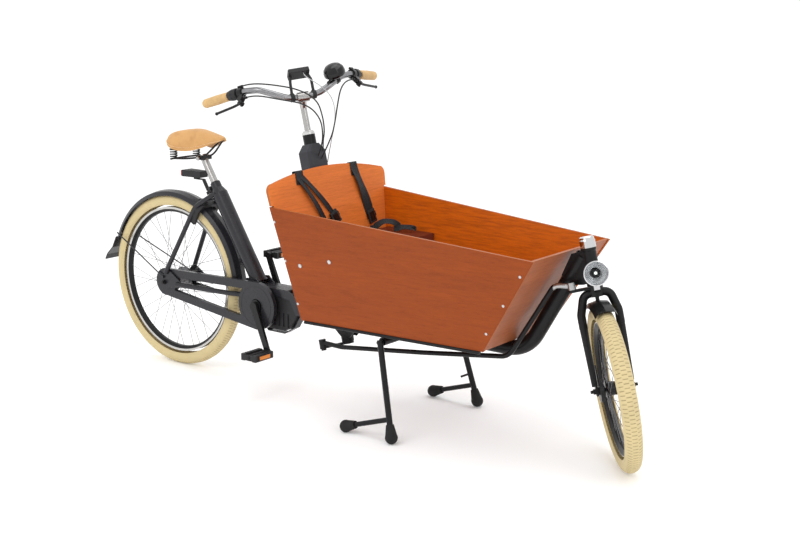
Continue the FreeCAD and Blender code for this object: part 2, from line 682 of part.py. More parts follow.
# chain case: round covers over both chain wheels, joined by two hollow runs
CASE_RUN = 15.0               # half height of a run about the chain
CASE_FRONT_R = 88.0
CASE_REAR_R = 53.0
case_y0 = CHAIN_Y - CASE_HALF
case_y1 = CHAIN_Y + CASE_HALF


def case_body(grow, y0, y1):
    runs = loop_band(-CASE_RUN - grow, CASE_RUN + grow, y0, y1)
    front = rod(V(CRANK_X, y0, CRANK_Z), V(CRANK_X, y1, CRANK_Z), CASE_FRONT_R + grow)
    rear = rod(V(0, y0, axle_z), V(0, y1, axle_z), CASE_REAR_R + grow)
    return fuse(runs, front, rear)


case = case_body(0, case_y0, case_y1)
case = case.cut(case_body(-CASE_WALL, case_y0 + CASE_WALL, case_y1 - CASE_WALL))
case_seat = rod(V(0, -DROPOUT_IN + GAP, axle_z), V(0, case_y0 + 0.6, axle_z), 30.0)
case = fuse(case, case_seat)
case = case.cut(rod(V(CRANK_X, -90, CRANK_Z), V(CRANK_X, 0, CRANK_Z), 26.0))
case = case.cut(rod(V(0, -90, axle_z), V(0, 0, axle_z), 20.0))
case = case.cut(rod(V(CRANK_X, case_y0 - 1, CRANK_Z), V(CRANK_X, case_y0 + 0.6, CRANK_Z), 74.0)
                .cut(rod(V(CRANK_X, case_y0 - 2, CRANK_Z), V(CRANK_X, case_y1, CRANK_Z), 71.0)))
node("chain_case", *case.Solids)

# cranks, spindle and the chainring's spider
CRANK_IN = 67.0
CRANK_OUT = 79.0
PEDAL_IN = 84.0
crank_dir = V(math.cos(math.radians(CRANK_ANGLE)), 0, math.sin(math.radians(CRANK_ANGLE)))


def crank_arm(sign):
    """A forged arm that tapers from its spindle boss to its pedal eye and leans outward."""
    way = crank_dir * (-sign)
    root = CRANK_AXLE + V(0, sign * CRANK_IN, 0)
    tip = CRANK_AXLE + way * CRANK_LENGTH + V(0, sign * PEDAL_IN, 0)
    boss_shape = rod(root, root + V(0, sign * 13, 0), 16.0)
    eye = rod(tip, tip + V(0, sign * 12, 0), 12.0)
    across = V(-way.z, 0, way.x)
    wires = []
    for centre, half, deep in ((root + V(0, sign * 6.5, 0), 14.0, 6.0), (tip + V(0, sign * 6, 0), 10.5, 5.0)):
        corners = [centre + across * half - V(0, deep, 0), centre + across * half + V(0, deep, 0),
                   centre - across * half + V(0, deep, 0), centre - across * half - V(0, deep, 0)]
        wires.append(Part.makePolygon(corners + [corners[0]]))
    return fuse(Part.makeLoft(wires, True, True), boss_shape, eye), tip


crank_right, pedal_point_right = crank_arm(-1)
crank_left, pedal_point_left = crank_arm(1)
spindle = rod(CRANK_AXLE - V(0, CRANK_IN + 4, 0), CRANK_AXLE + V(0, CRANK_IN + 4, 0), SPINDLE_R)
spider = rod(V(CRANK_X, CHAIN_Y - 1, CRANK_Z), V(CRANK_X, -CRANK_IN + 0.01, CRANK_Z), 24.0)
hub_plate = rod(V(CRANK_X, CHAIN_Y - 1, CRANK_Z), V(CRANK_X, CHAIN_Y + 1, CRANK_Z), 24.0)
PEDAL_PIN_R = 6.0
pedal_pins = []
for sign, tip in ((-1, pedal_point_right), (1, pedal_point_left)):
    pedal_pins.append(rod(tip, tip + V(0, sign * 108, 0), PEDAL_PIN_R))
node("crankset", fuse(crank_right, crank_left, spindle, spider, hub_plate, chainring, *pedal_pins))


def pedal(tip, sign):
    """Open cage: centre sleeve, two end plates and a ribbed tread bar front and rear."""
    y_in = tip.y + sign * 15
    y_out = tip.y + sign * 106
    low, high = min(y_in, y_out), max(y_in, y_out)
    body = rod(V(tip.x, low, tip.z), V(tip.x, high, tip.z), 10.5)
    parts = [body]
    for edge in (low, high - 6):
        parts.append(brick(tip.x - 33, tip.x + 33, edge, edge + 6, tip.z - 10, tip.z + 10))
    for side in (-1, 1):
        x = tip.x + side * 27
        parts.append(brick(x - 8, x + 8, low, high, tip.z - 12, tip.z + 12))
        parts.append(brick(tip.x + side * 35 - 2.5, tip.x + side * 35 + 2.5, low + 14, high - 14,
                           tip.z - 8, tip.z + 8))
    whole = fuse(*parts)
    for side in (-1, 1):
        for k in range(6):
            y = low + 14 + k * 12
            for z in (tip.z + 10, tip.z - 12):
                x = tip.x + side * 27
                whole = whole.cut(brick(x - 9, x + 6, y, y + 4, z, z + 2))
    return whole.cut(rod(V(tip.x, tip.y, tip.z), V(tip.x, tip.y + sign * 120, tip.z), PEDAL_PIN_R + RUN))


node("pedal_right", pedal(pedal_point_right, -1))
node("pedal_left", pedal(pedal_point_left, 1))


# ---------------------------------------------------------------- steering column
def in_column(x, y, z):
    return COLUMN_TURNED.multVec(V(x, y, z))


ARM_T = 8.0
arm_top = COLUMN_LOW - GAP
arm_foot = arm_top - ARM_T
steerer = turned([(11.1, arm_foot), (STEERER_R, arm_foot), (STEERER_R, COLUMN_HIGH + 14),
                  (11.1, COLUMN_HIGH + 14)])
arm_disc = Part.makeCylinder(20, ARM_T, V(0, 0, arm_foot))
arm_eye = Part.makeCylinder(13, ARM_T, V(0, -COLUMN_ARM, arm_foot))
arm_bar = brick(-11, 11, -COLUMN_ARM, 0, arm_foot, arm_top)
steering_arm = fuse(arm_disc, arm_eye, arm_bar)
STUD_R = 5.0
steering_arm = steering_arm.cut(Part.makeCylinder(STUD_R + RUN, 40, V(0, -COLUMN_ARM, arm_foot - 10)))
steering_arm = steering_arm.cut(Part.makeCylinder(11.1, 40, V(0, 0, arm_foot - 10)))
column_nut = turned([(11.1, COLUMN_HIGH + GAP), (HEAD_TUBE_R, COLUMN_HIGH + GAP),
                     (HEAD_TUBE_R, COLUMN_HIGH + 8), (17, COLUMN_HIGH + 14), (11.1, COLUMN_HIGH + 14)])
node("steering_column", placed(fuse(steerer, steering_arm, column_nut), COLUMN_TURNED))

BAR_R = 11.1
CLAMP = (28.0, 0.0, 784.0)
quill = Part.makeCylinder(11.0, 160, V(0, 0, 600))
neck = cone(V(0, 0, 752), V(CLAMP[0] - 8, 0, CLAMP[2]), 12.0, 13.5)
clamp_barrel = rod(V(CLAMP[0], -20, CLAMP[2]), V(CLAMP[0], 20, CLAMP[2]), 18.0)
quill_bolt = Part.makeCylinder(6.0, 6, V(0, 0, 758))
stem = fuse(quill, neck, clamp_barrel, quill_bolt)
stem = stem.cut(rod(V(CLAMP[0], -30, CLAMP[2]), V(CLAMP[0], 30, CLAMP[2]), 12.7))
node("stem", placed(stem, COLUMN_TURNED))

bar_half = [V(28, 22, 784), V(38, 60, 790), V(38, 98, 808), V(22, 146, 833), V(-12, 186.7, 839),
            V(-166, 309, 832)]
bar_points = [V(p.x, -p.y, p.z) for p in bar_half[::-1]] + bar_half
bar = pipe(bar_points, BAR_R, 50)
bar_middle = rod(V(CLAMP[0], -21, CLAMP[2]), V(CLAMP[0], 21, CLAMP[2]), 12.7)
node("handlebar", placed(fuse(bar, bar_middle), COLUMN_TURNED))
bar_hole = pipe(bar_points, BAR_R + RUN, 50)

bar_end = bar_half[-1]
bar_dir = unit(bar_half[-1] - bar_half[-2])
GRIP_L = 118.0
GRIP_R = 16.0


def on_bar(back):
    """A point on the left handle's straight end, so far back from its tip."""
    return bar_end - bar_dir * back


grip = turned([(BAR_R + RUN, 0), (GRIP_R - 1, 0), (GRIP_R, 6), (GRIP_R + 1, GRIP_L * 0.5),
               (GRIP_R, GRIP_L - 3), (GRIP_R - 3, GRIP_L + 3), (0, GRIP_L + 3), (0, GRIP_L + GAP),
               (BAR_R + RUN, GRIP_L + GAP)], on_bar(GRIP_L), bar_dir)
node("grips", placed(grip, COLUMN_TURNED), placed(mirrored(grip), COLUMN_TURNED))

# brake lever clamps, one per side, each with a fork that carries the lever's pivot
LEVER_BACK = 178.0
LEVER_REACH = 50.0
lever_seat = on_bar(LEVER_BACK)
lever_pivot = lever_seat + unit(V(0.75, 0.33, -1)) * LEVER_REACH
pivot_axis = unit((lever_pivot - lever_seat).cross(bar_dir))
CLAMP_W = 18.0
EAR_HALF = 9.0
LEVER_T = 9.6
BARREL_L = 28.0
bar_up = unit(V(0, 0, 1) - bar_dir * bar_dir.z)
SECOND_CABLE = 20.0           # height of the shift or switch cable's stop above the bar's axis


def lever_clamp():
    a = lever_seat - bar_dir * (CLAMP_W / 2)
    b = lever_seat + bar_dir * (CLAMP_W / 2)
    ring = rod(a, b, 17.0)
    neck_end = lever_seat + (lever_pivot - lever_seat) * 0.62
    neck_shape = rod(lever_seat, neck_end, 9.0)
    ears = rod(lever_pivot - pivot_axis * EAR_HALF, lever_pivot + pivot_axis * EAR_HALF, 9.0)
    block = rod(neck_end - pivot_axis * EAR_HALF, neck_end + pivot_axis * EAR_HALF, 11.0)
    whole = fuse(ring, neck_shape, ears, block)
    half = LEVER_T / 2 + GAP
    slot = rod(lever_pivot - pivot_axis * half, lever_pivot + pivot_axis * half, 12.0)
    barrel = rod(neck_end, neck_end - bar_dir * BARREL_L, 4.5)
    stop = rod(b + bar_up * SECOND_CABLE, a - bar_dir * 3 + bar_up * SECOND_CABLE, 4.5)
    whole = fuse(whole.cut(slot), barrel, stop).cut(bar_hole)
    pin = rod(lever_pivot - pivot_axis * (EAR_HALF + 1), lever_pivot + pivot_axis * (EAR_HALF + 1), 3.0)
    return fuse(whole, pin)


def brake_lever():
    """A two-finger blade that curves back along the grip."""
    eye = rod(lever_pivot - pivot_axis * (LEVER_T / 2), lever_pivot + pivot_axis * (LEVER_T / 2), 7.5)
    away = unit(lever_pivot - lever_seat)
    knee = lever_pivot + bar_dir * 34 + away * 6
    tip = lever_pivot + bar_dir * 118 + away * 14
    blade = pipe([lever_pivot + bar_dir * 4, knee, tip], 4.6, 60)
    knob = Part.makeSphere(6.0, tip)
    return fuse(eye, blade, knob).cut(rod(lever_pivot - pivot_axis * 20, lever_pivot + pivot_axis * 20,
                                          3.0 + RUN))


clamp_solid = lever_clamp()
lever = brake_lever()
# switch pod beside the left clamp
pod_a = on_bar(LEVER_BACK - 14)
pod_b = on_bar(LEVER_BACK - 38)
pod = turned([(BAR_R + RUN, 0), (18, 0), (20, 4), (20, 20), (18, 24), (BAR_R + RUN, 24)], pod_a, bar_dir)
node("lever_clamps", placed(clamp_solid, COLUMN_TURNED), placed(mirrored(clamp_solid), COLUMN_TURNED),
     placed(pod, COLUMN_TURNED))
node("brake_lever_left", placed(lever, COLUMN_TURNED))
node("brake_lever_right", placed(mirrored(lever), COLUMN_TURNED))

# twist shifter between the right clamp and grip
SHIFT_L = 40.0
shifter = turned([(BAR_R + RUN, 0), (19, 0), (20, 6), (20, 24), (17, SHIFT_L), (BAR_R + RUN, SHIFT_L)],
                 on_bar(LEVER_BACK - 16), bar_dir)
for k in range(10):
    angle = math.radians(36 * k)
    side = unit(bar_dir.cross(V(0, 0, 1)))
    out = side * math.cos(angle) + unit(bar_dir.cross(side)) * math.sin(angle)
    spot = on_bar(LEVER_BACK - 22) + out * 21.5
    shifter = shifter.cut(rod(spot, spot + bar_dir * 16, 2.6))
node("twist_shifter", placed(mirrored(shifter), COLUMN_TURNED))

# bell on the left of the bar: band, domed gong and thumb lever
bell_seat = bar_half[2] + (bar_half[3] - bar_half[2]) * 0.62
bell_dir = unit(bar_half[3] - bar_half[2])
bell_up = unit(V(0.45, 0.1, 1))
bell_up = unit(bell_up - bell_dir * bell_up.dot(bell_dir))
band = sleeve(bell_seat - bell_dir * 6, bell_seat + bell_dir * 6, 14.5, BAR_R + RUN)
stalk = rod(bell_seat + bell_up * 13.5, bell_seat + bell_up * 24, 7.0)
gong_base = bell_seat + bell_up * 24
GONG_R = 38.0
gong = turned([(0, 0), (GONG_R - 2, 0), (GONG_R, 2), (GONG_R, 10), (GONG_R * 0.93, 20),
               (GONG_R * 0.75, 28.5), (GONG_R * 0.45, 34), (GONG_R * 0.15, 36), (0, 36)],
              gong_base, bell_up)
bell = fuse(band, stalk, gong).cut(bar_hole)
bell_pin = gong_base - bell_dir * 18 + bell_up * -5
bell_pin_solid = rod(bell_pin - bell_up * 5, bell_pin + bell_up * 5.2, 2.5)
node("bell", placed(fuse(bell, bell_pin_solid), COLUMN_TURNED))
bell_front = unit(bell_up.cross(bell_dir))
thumb = fuse(rod(bell_pin - bell_up * 3.5, bell_pin + bell_up * 3.5, 6.0),
             rod(bell_pin, bell_pin - bell_dir * 26 - bell_front * 8, 3.0),
             Part.makeSphere(4.5, bell_pin - bell_dir * 26 - bell_front * 8))
thumb = thumb.cut(rod(bell_pin - bell_up * 8, bell_pin + bell_up * 8, 2.5 + RUN))
node("bell_lever", placed(thumb, COLUMN_TURNED))

# display on two arms above the stem
display_place = FreeCAD.Placement(V(24, 0, 866), FreeCAD.Rotation(V(0, 1, 0), -28))
screen = brick(-24, 24, -37, 37, -7, 7)
screen = screen.makeFillet(5, [e for e in screen.Edges if abs(e.Vertexes[0].Z - e.Vertexes[1].Z) > 1])
screen = screen.cut(brick(-19, 19, -30, 30, 6, 8))
screen = placed(screen, display_place)
arms = []
for sign in (-1, 1):
    seat = V(33, sign * 38, 786.5)
    arms.append(rod(seat - V(1, -6, 0) * sign, seat + V(1, -6, 0) * sign, 15.0))
    arms.append(pipe([V(36, sign * 38, 798), V(40, sign * 37, 838), V(26, sign * 30, 861)], 5.0, 20))
bracket = fuse(screen, *arms)
bracket = bracket.cut(bar_hole)
node("display", placed(bracket, COLUMN_TURNED))

# ---------------------------------------------------------------- steering rod
BALL_H = 14.0                 # the ball joint's centre above the column's lower arm
ball_h = arm_top + BALL_H
rear_ball = in_column(0, -COLUMN_ARM, ball_h)
FORK_ARM_LOW = HEAD_LOW - 10.0
FORK_ARM_TOP = HEAD_LOW - 2.0
FORK_GAP = 0.8
front_ball_h = FORK_ARM_TOP + FORK_GAP + 11.0
front_ball = FORK_TURNED.multVec(V(0, -FORK_ARM, front_ball_h))
up_axis = column_axis
rod_points = [rear_ball, V(880, -68, 224), V(1225, -60, 262), V(1556, -60, 306),
              V(1713, -58, 556), front_ball]
rod_tube = pipe(rod_points, ROD_R, [30, 60, 60, 30])
stud_end = rear_ball - up_axis * (BALL_H + ARM_T + 6)
rear_housing = rod(rear_ball - up_axis * (BALL_H - GAP), rear_ball + up_axis * 11, 12.5)
stud = rod(stud_end, rear_ball, STUD_R)
stud_nut = rod(stud_end, rear_ball - up_axis * (BALL_H + ARM_T + GAP), 9.0)
front_housing = rod(front_ball - up_axis * 11, front_ball + up_axis * 11, 12.5)
node("steering_rod", fuse(rod_tube, rear_housing, stud, stud_nut, front_housing))

# ---------------------------------------------------------------- fork group
CROWN_H = HEAD_LOW - 12.0
BLADE_Y = 56.0
fork_stem = turned([(0, CROWN_H - 22), (20, CROWN_H - 22), (22, CROWN_H - 4), (22, FORK_ARM_LOW),
                    (STEERER_R, FORK_ARM_LOW), (STEERER_R, HEAD_HIGH + 2), (0, HEAD_HIGH + 2)])
fork_arm = fuse(Part.makeCylinder(23, 8, V(0, 0, FORK_ARM_LOW)),
                Part.makeCylinder(13, 8, V(0, -FORK_ARM, FORK_ARM_LOW)),
                brick(-12, 12, -FORK_ARM, 0, FORK_ARM_LOW, FORK_ARM_TOP))
fork_arm = fork_arm.cut(Part.makeCylinder(STUD_R + RUN, 20, V(0, -FORK_ARM, FORK_ARM_LOW - 5)))
blades = []
for sign in (-1, 1):
    shoulder = pipe([V(0, 0, CROWN_H - 8), V(0, sign * 40, CROWN_H - 12), V(0, sign * (BLADE_Y + 1), 232),
                     V(1, sign * (BLADE_Y + 1), 190)], 13.0, [26, 40])
    blade = cone(V(0.4, sign * (BLADE_Y + 1), 198), V(FORK_RAKE - 1, sign * BLADE_Y, 15), 12.5, 8.8)
    y0 = 50.0 if sign > 0 else -56.0
    tip = profile_prism([(FORK_RAKE - 8, 44), (FORK_RAKE + 6, 44), (FORK_RAKE + 15, 0),
                         (FORK_RAKE + 9, -14), (FORK_RAKE - 9, -14), (FORK_RAKE - 15, 0)], y0, y0 + 6)
    blades.extend([shoulder, blade, tip])
fork = fuse(fork_stem, fork_arm, *blades)
fork = fork.cut(rod(V(FORK_RAKE, -90, 0), V(FORK_RAKE, 90, 0), AXLE_R + RUN))
node("fork", placed(fork, FORK_TURNED))

CAP_R = 24.0
cap = turned([(STEERER_R + RUN, HEAD_HIGH + GAP), (CAP_R, HEAD_HIGH + GAP), (CAP_R, HEAD_HIGH + 22),
              (CAP_R - 2, HEAD_HIGH + 26), (CAP_R - 2, HEAD_HIGH + 31), (CAP_R - 5, HEAD_HIGH + 34),
              (0, HEAD_HIGH + 34), (0, HEAD_HIGH + 2 + GAP), (STEERER_R + RUN, HEAD_HIGH + 2 + GAP)])
node("headset_cap", placed(cap, FORK_TURNED))

# headlight on a bracket from the crown
LAMP_R = 38.0
LAMP_H = 357.0
LAMP_BACK = 30.0
LAMP_FACE = 70.0
lamp_profile = [(0, 0), (10, 0), (24, 6), (31, 16), (LAMP_R, 26), (LAMP_R, 39), (LAMP_R - 3, 40),
                (LAMP_R - 3, 34), (12, 18), (0, 18)]
lamp_axis = unit(V(1, 0, -0.04))
lamp_base = V(LAMP_BACK, 0, LAMP_H)
lamp = turned(lamp_profile, lamp_base, lamp_axis)
lamp_strap = ribbon([(22.2, 297), (28, 304), (29, 322)], -3.0, -9, 9)
lamp_lug = brick(29, 40, -5, 5, 314, 330)
lamp = fuse(lamp, lamp_lug)
node("headlight", placed(lamp, FORK_TURNED), placed(lamp_strap.cut(lamp), FORK_TURNED))
lens = turned([(0, 35), (LAMP_R - 3 - GAP, 35), (LAMP_R - 3 - GAP, 38), (LAMP_R * 0.55, 41.5), (0, 43)],
              lamp_base, lamp_axis)
node("headlight_lens", placed(lens, FORK_TURNED))

# front mudguard: short curved shell, held under the crown
def guard(inner_r, thick, half_w, lip, start, end, centre):
    """A shallow channel turned about local Y between two angles from straight forward."""
    outer_r = inner_r + thick
    outline = [V(inner_r - lip, 0, -half_w), V(inner_r, 0, -half_w + 8), V(inner_r + 5, 0, 0),
               V(inner_r, 0, half_w - 8), V(inner_r - lip, 0, half_w), V(outer_r - lip, 0, half_w + 1),
               V(outer_r, 0, half_w - 7), V(outer_r + 5, 0, 0), V(outer_r, 0, -half_w + 7),
               V(outer_r - lip, 0, -half_w - 1)]
    face = Part.Face(Part.makePolygon(outline + [outline[0]]))
    solid = face.revolve(V(0, 0, 0), V(0, 0, 1), end - start)
    about_y = FreeCAD.Rotation(V(1, 0, 0), 90)
    solid.Placement = FreeCAD.Placement(centre, FreeCAD.Rotation(V(0, 1, 0), -start) * about_y)
    return solid


front_guard = guard(FRONT_TYRE_R + 5, 2.0, 33, 14, 66, 112, V(FORK_RAKE, 0, 0))
crown_foot = CROWN_H - 22
guard_lug = Part.makeCylinder(6, 14, V(0, 0, crown_foot - 14))
guard_top_cut = rod(V(FORK_RAKE, -40, 0), V(FORK_RAKE, 40, 0), FRONT_TYRE_R + 8)
guard_lug = guard_lug.cut(guard_top_cut)
node("front_mudguard", placed(fuse(front_guard, guard_lug), FORK_TURNED))

# front axle with nuts, and the brake drum with its reaction arm on the right blade
front_axle = rod(V(FORK_RAKE, -72, 0), V(FORK_RAKE, 72, 0), AXLE_R)
front_nuts = []
for y in (-64.0, 56.0):
    outline = []
    for k in range(6):
        angle = math.radians(60 * k)
        outline.append(V(FORK_RAKE + 9 * math.cos(angle), y, 9 * math.sin(angle)))
    front_nuts.append(prism(outline, V(0, 8, 0)))
front_drum = turned([(HUB_BORE, -3.2), (12, -3.2), (12, 0), (34, 0), (36, 2), (34, 12), (12, 18.5),
                     (HUB_BORE, 18.5)], V(FORK_RAKE, -46.5, 0), V(0, 1, 0))
brake_arm = profile_prism([(FORK_RAKE - 8, 10), (FORK_RAKE + 8, 10), (14, 78), (-4, 78)], -45.9, -41.9)
node("front_axle_and_brake", placed(fuse(front_axle, *front_nuts), FORK_TURNED),
     placed(fuse(front_drum, brake_arm.cut(front_drum)), FORK_TURNED))

# ---------------------------------------------------------------- stand
leg_top_y = STAND_SLEEVE_HALF + 12
stand_axle = rod(V(STAND_X, -leg_top_y - 8, STAND_Z), V(STAND_X, leg_top_y + 8, STAND_Z), STAND_AXLE_R)
LEG_R = 10.0
BAR_TUBE_R = 8.5
BAR_JOIN_Z = 78.0
foot_centre_z = FOOT_R
legs = []
feet = []


def boot(spot, way, tube_r):
    """A rubber ball foot that tapers up a tube, turned about the tube's axis."""
    swell = math.radians(25)
    ball = Part.Arc(V(0, 0, -FOOT_R), V(FOOT_R * 0.8, 0, -FOOT_R * 0.6),
                    V(FOOT_R * math.cos(swell), 0, FOOT_R * math.sin(swell))).toShape()
    corners = [V(FOOT_R * math.cos(swell), 0, FOOT_R * math.sin(swell)), V(13, 0, 42), V(tube_r, 0, 42),
               V(tube_r, 0, 0), V(0, 0, 0), V(0, 0, -FOOT_R)]
    face = Part.Face(Part.Wire([ball] + Part.makePolygon(corners).Edges))
    solid = face.revolve(V(0, 0, 0), V(0, 0, 1), 360)
    solid.Placement = FreeCAD.Placement(spot, FreeCAD.Rotation(V(0, 0, 1), way))
    return solid


for sign in (-1, 1):
    top = V(STAND_X, sign * leg_top_y, STAND_Z + 8)
    low = V(STAND_FRONT_X, sign * STAND_HALF, foot_centre_z)
    legs.append(rod(top, low, LEG_R))
    share = (BAR_JOIN_Z - low.z) / (top.z - low.z)
    join = low + (top - low) * share
    back = V(STAND_REAR_X, sign * STAND_HALF, foot_centre_z)
    legs.append(rod(join, back, BAR_TUBE_R))
    peg = low + (top - low) * 0.32
    if sign > 0:
        legs.append(rod(peg, peg + V(-38, 0, -18), 4.0))
    feet.append(boot(low, unit(top - low), LEG_R))
    feet.append(boot(back, unit(join - back), BAR_TUBE_R))
stand = fuse(stand_axle, *legs)
node("kickstand", stand)
node("kickstand_feet", *feet)

# ---------------------------------------------------------------- bench in the box
BENCH_PIN_R = 4.0
bench_y = side_y(BENCH_X[1], BENCH_Z) - 3
bench_rear_y = side_y(BENCH_X[0], BENCH_Z) - 3
plank = prism([V(BENCH_X[0] + 8, -bench_rear_y, BENCH_Z - BENCH_T), V(BENCH_X[1], -bench_y, BENCH_Z - BENCH_T),
               V(BENCH_X[1], bench_y, BENCH_Z - BENCH_T), V(BENCH_X[0] + 8, bench_rear_y, BENCH_Z - BENCH_T)],
              V(0, 0, BENCH_T))
apron_y = side_y(BENCH_X[1], BENCH_Z - BENCH_APRON) - 3
apron = brick(BENCH_X[1] - 14, BENCH_X[1], -apron_y, apron_y, BENCH_Z - BENCH_APRON, BENCH_Z - BENCH_T)
pin_z = BENCH_Z - BENCH_T / 2
pin_x = BENCH_X[0]
knuckles = []
for y in (-190, 0, 190):
    knuckles.append(brick(pin_x, pin_x + 12, y - 25, y + 25, pin_z - 7, pin_z + 7))
    knuckles.append(rod(V(pin_x, y - 25, pin_z), V(pin_x, y + 25, pin_z), 7.0))
bench = fuse(plank, apron, *knuckles)
bench = bench.cut(rod(V(pin_x, -280, pin_z), V(pin_x, 280, pin_z), BENCH_PIN_R + RUN))
node("bench", bench)

# fittings: hinge pin with its end blocks, bench cleats, panel bolts and screws
fittings = []
pin_half = side_y(pin_x, pin_z) - 1
left_panel = mirrored(side_panel)
pin = rod(V(pin_x, -pin_half - 6, pin_z), V(pin_x, pin_half + 6, pin_z), BENCH_PIN_R)
fittings.append(pin.cut(side_panel).cut(left_panel))
CLEAT_T = 22.0
CLEAT_X = (850.0, 1018.0)
cleat_side = (shifted(SIDE_IN, -CLEAT_T), SIDE_IN)
cleat_ends = ((V(CLEAT_X[0], 0, 0), V(1, 0, 0)), (V(CLEAT_X[1], 0, 0), V(1, 0, 0)))
cleat_levels = ((V(0, 0, BENCH_Z - BENCH_T - 36), V(0, 0, 1)), (V(0, 0, BENCH_Z - BENCH_T - GAP), V(0, 0, 1)))
cleat = slab(cleat_side, cleat_ends, cleat_levels)
fittings.extend([cleat, mirrored(cleat)])


def side_bolt(x, z, r, h, sign):
    """A domed head on a side panel's outer face."""
    y = side_y(x, z, False)
    seat = V(x, -y, z)
    head = turned([(0, 0), (r, 0), (r, h * 0.5), (r * 0.6, h), (0, h)], seat, SIDE_OUT[1])
    return head if sign < 0 else mirrored(head)


BOLT_SPOTS = [(872, 542, 7.0), (995, 570, 7.0)]
SCREW_SPOTS = [(787, 683, 4.5), (812, 552, 4.5), (842, 406, 4.5), (1696, 608, 4.5), (1632, 509, 4.5),
               (1565, 410, 4.5)]
for sign in (-1, 1):
    for x, z, r in BOLT_SPOTS + SCREW_SPOTS:
        fittings.append(side_bolt(x, z, r, 3.0 if r > 5 else 1.6, sign))
fitting_solids = []
for shape in fittings:
    fitting_solids.extend(shape.Solids)
node("box_fittings", *fitting_solids)

# ---------------------------------------------------------------- battery case on the column
def column_section(h, half_f, half_s, chamfer):
    """A chamfered rectangle across the column."""
    f, s, c = half_f, half_s, chamfer
    outline = [(f, -s + c), (f, s - c), (f - c, s), (-f + c, s), (-f, s - c), (-f, -s + c),
               (-f + c, -s), (f - c, -s)]
    points = [V(x, y, h) for x, y in outline]
    return Part.makePolygon(points + [points[0]])


BATTERY_LOW = 230.0
BATTERY_TOP = 596.0
NECK_LOW = 622.0
BATTERY_HALF = 46.5
CASE_FACE = 28.0              # the battery case's front face, from the column's axis
battery = Part.makeLoft([column_section(BATTERY_LOW, CASE_FACE, BATTERY_HALF, 8),
                         column_section(BATTERY_TOP, CASE_FACE, BATTERY_HALF, 8)], True, True)
flare = Part.makeLoft([column_section(BATTERY_TOP, CASE_FACE, BATTERY_HALF, 8),
                       column_section(NECK_LOW, HEAD_TUBE_R + 2, HEAD_TUBE_R + 2, 8)], True, True)
case_solid = fuse(battery, flare)
case_solid = case_solid.cut(Part.makeCylinder(HEAD_TUBE_R, 600, V(0, 0, 150)))
node("battery_case", placed(case_solid, COLUMN))

# ---------------------------------------------------------------- saddle
post_low = seat_top - seat_axis * 190
POST_TOP = seat_top + seat_axis * 138
post = rod(post_low, POST_TOP, SEATPOST_R)
saddle_clamp = POST_TOP - seat_axis * 10
clamp_block = rod(saddle_clamp - V(0, 24, 0), saddle_clamp + V(0, 24, 0), 13.0)
clamp_block = clamp_block.cut(rod(post_low, POST_TOP, SEATPOST_R + RUN))
node("seat_post", post)
SADDLE_NOSE_X = 270.0
SADDLE_TAIL_X = -13.0
# leather top: an outline lofted from tail to nose, given as (x, half width, top z, edge z)
STATIONS = [(-13, 62, 884, 868), (12, 92, 906, 856), (60, 100, 921, 850), (110, 84, 925, 852),
            (160, 54, 922, 862), (210, 27, 914, 872), (252, 19, 904, 878), (270, 13, 896, 884)]


def saddle_section(x, half, top, edge):
    points = [V(x, -half, edge), V(x, -half * 0.86, (top + edge) / 2 + (top - edge) * 0.2),
              V(x, -half * 0.45, top - (top - edge) * 0.08), V(x, 0, top),
              V(x, half * 0.45, top - (top - edge) * 0.08),
              V(x, half * 0.86, (top + edge) / 2 + (top - edge) * 0.2), V(x, half, edge)]
    return Part.makePolygon(points + [points[0]])


saddle_top = Part.makeLoft([saddle_section(*s) for s in STATIONS], True, True)
node("saddle_top", saddle_top)
# saddle frame: two rails, a rear plate line and two coil springs as plain barrels
rail_z = saddle_clamp.z + 2
rails = []
for sign in (-1, 1):
    rails.append(pipe([V(246, sign * 9, 872), V(200, sign * 18, rail_z), V(96, sign * 24, rail_z),
                       V(44, sign * 52, rail_z - 4), V(30, sign * 74, rail_z - 4)], 3.5, 12))
    spring_low = V(30, sign * 74, rail_z - 6)
    spring_high = V(30, sign * 74, 849)
    rails.append(rod(spring_low, spring_high, 13.0))
rear_bar = rod(V(30, -74, rail_z - 4), V(30, 74, rail_z - 4), 3.5)
nose_block = brick(236, 262, -12, 12, 866, 877)
saddle_frame = fuse(rails[0], rails[1], rails[2], rails[3], rear_bar, nose_block, clamp_block)
saddle_frame = saddle_frame.cut(saddle_top).cut(rod(post_low, POST_TOP, SEATPOST_R + RUN))
node("saddle_frame", *[s for s in saddle_frame.Solids if s.Volume > 100])

# ---------------------------------------------------------------- rear mudguard, light, lock
REAR_GUARD_R = REAR_TYRE_R + 7
rear_guard = guard(REAR_GUARD_R, 2.0, 32, 14, 3.5, 158, REAR_AXLE)
flap_top = REAR_AXLE + V(-REAR_GUARD_R * 0.93, 0, REAR_GUARD_R * 0.395)
flap = ribbon([(flap_top.x, flap_top.z), (flap_top.x - 24, flap_top.z - 44),
               (flap_top.x - 58, flap_top.z - 76), (flap_top.x - 70, flap_top.z - 98)], 4.0, -33, 33)
bridge_mid = V(196, 0, 662)
post_way = V(math.cos(math.radians(68)), 0, math.sin(math.radians(68)))
guard_post = rod(bridge_mid, REAR_AXLE + post_way * (REAR_GUARD_R + 6), 5.0)
stays = []
for sign in (-1, 1):
    foot = V(-6, sign * 73.9, axle_z + 20)
    pair = [rod(V(-6, sign * (DROPOUT_IN + DROPOUT_T), axle_z + 20), V(-6, sign * 78, axle_z + 20), 6.0)]
    for angle in (153,):
        end = REAR_AXLE + V((REAR_GUARD_R + 1) * math.cos(math.radians(angle)), sign * 34.5,
                            (REAR_GUARD_R + 1) * math.sin(math.radians(angle)) - 3)
        pair.append(rod(end, foot, 2.6))
    stays.append(fuse(*pair).cut(rear_guard).cut(right_side).cut(left_side))
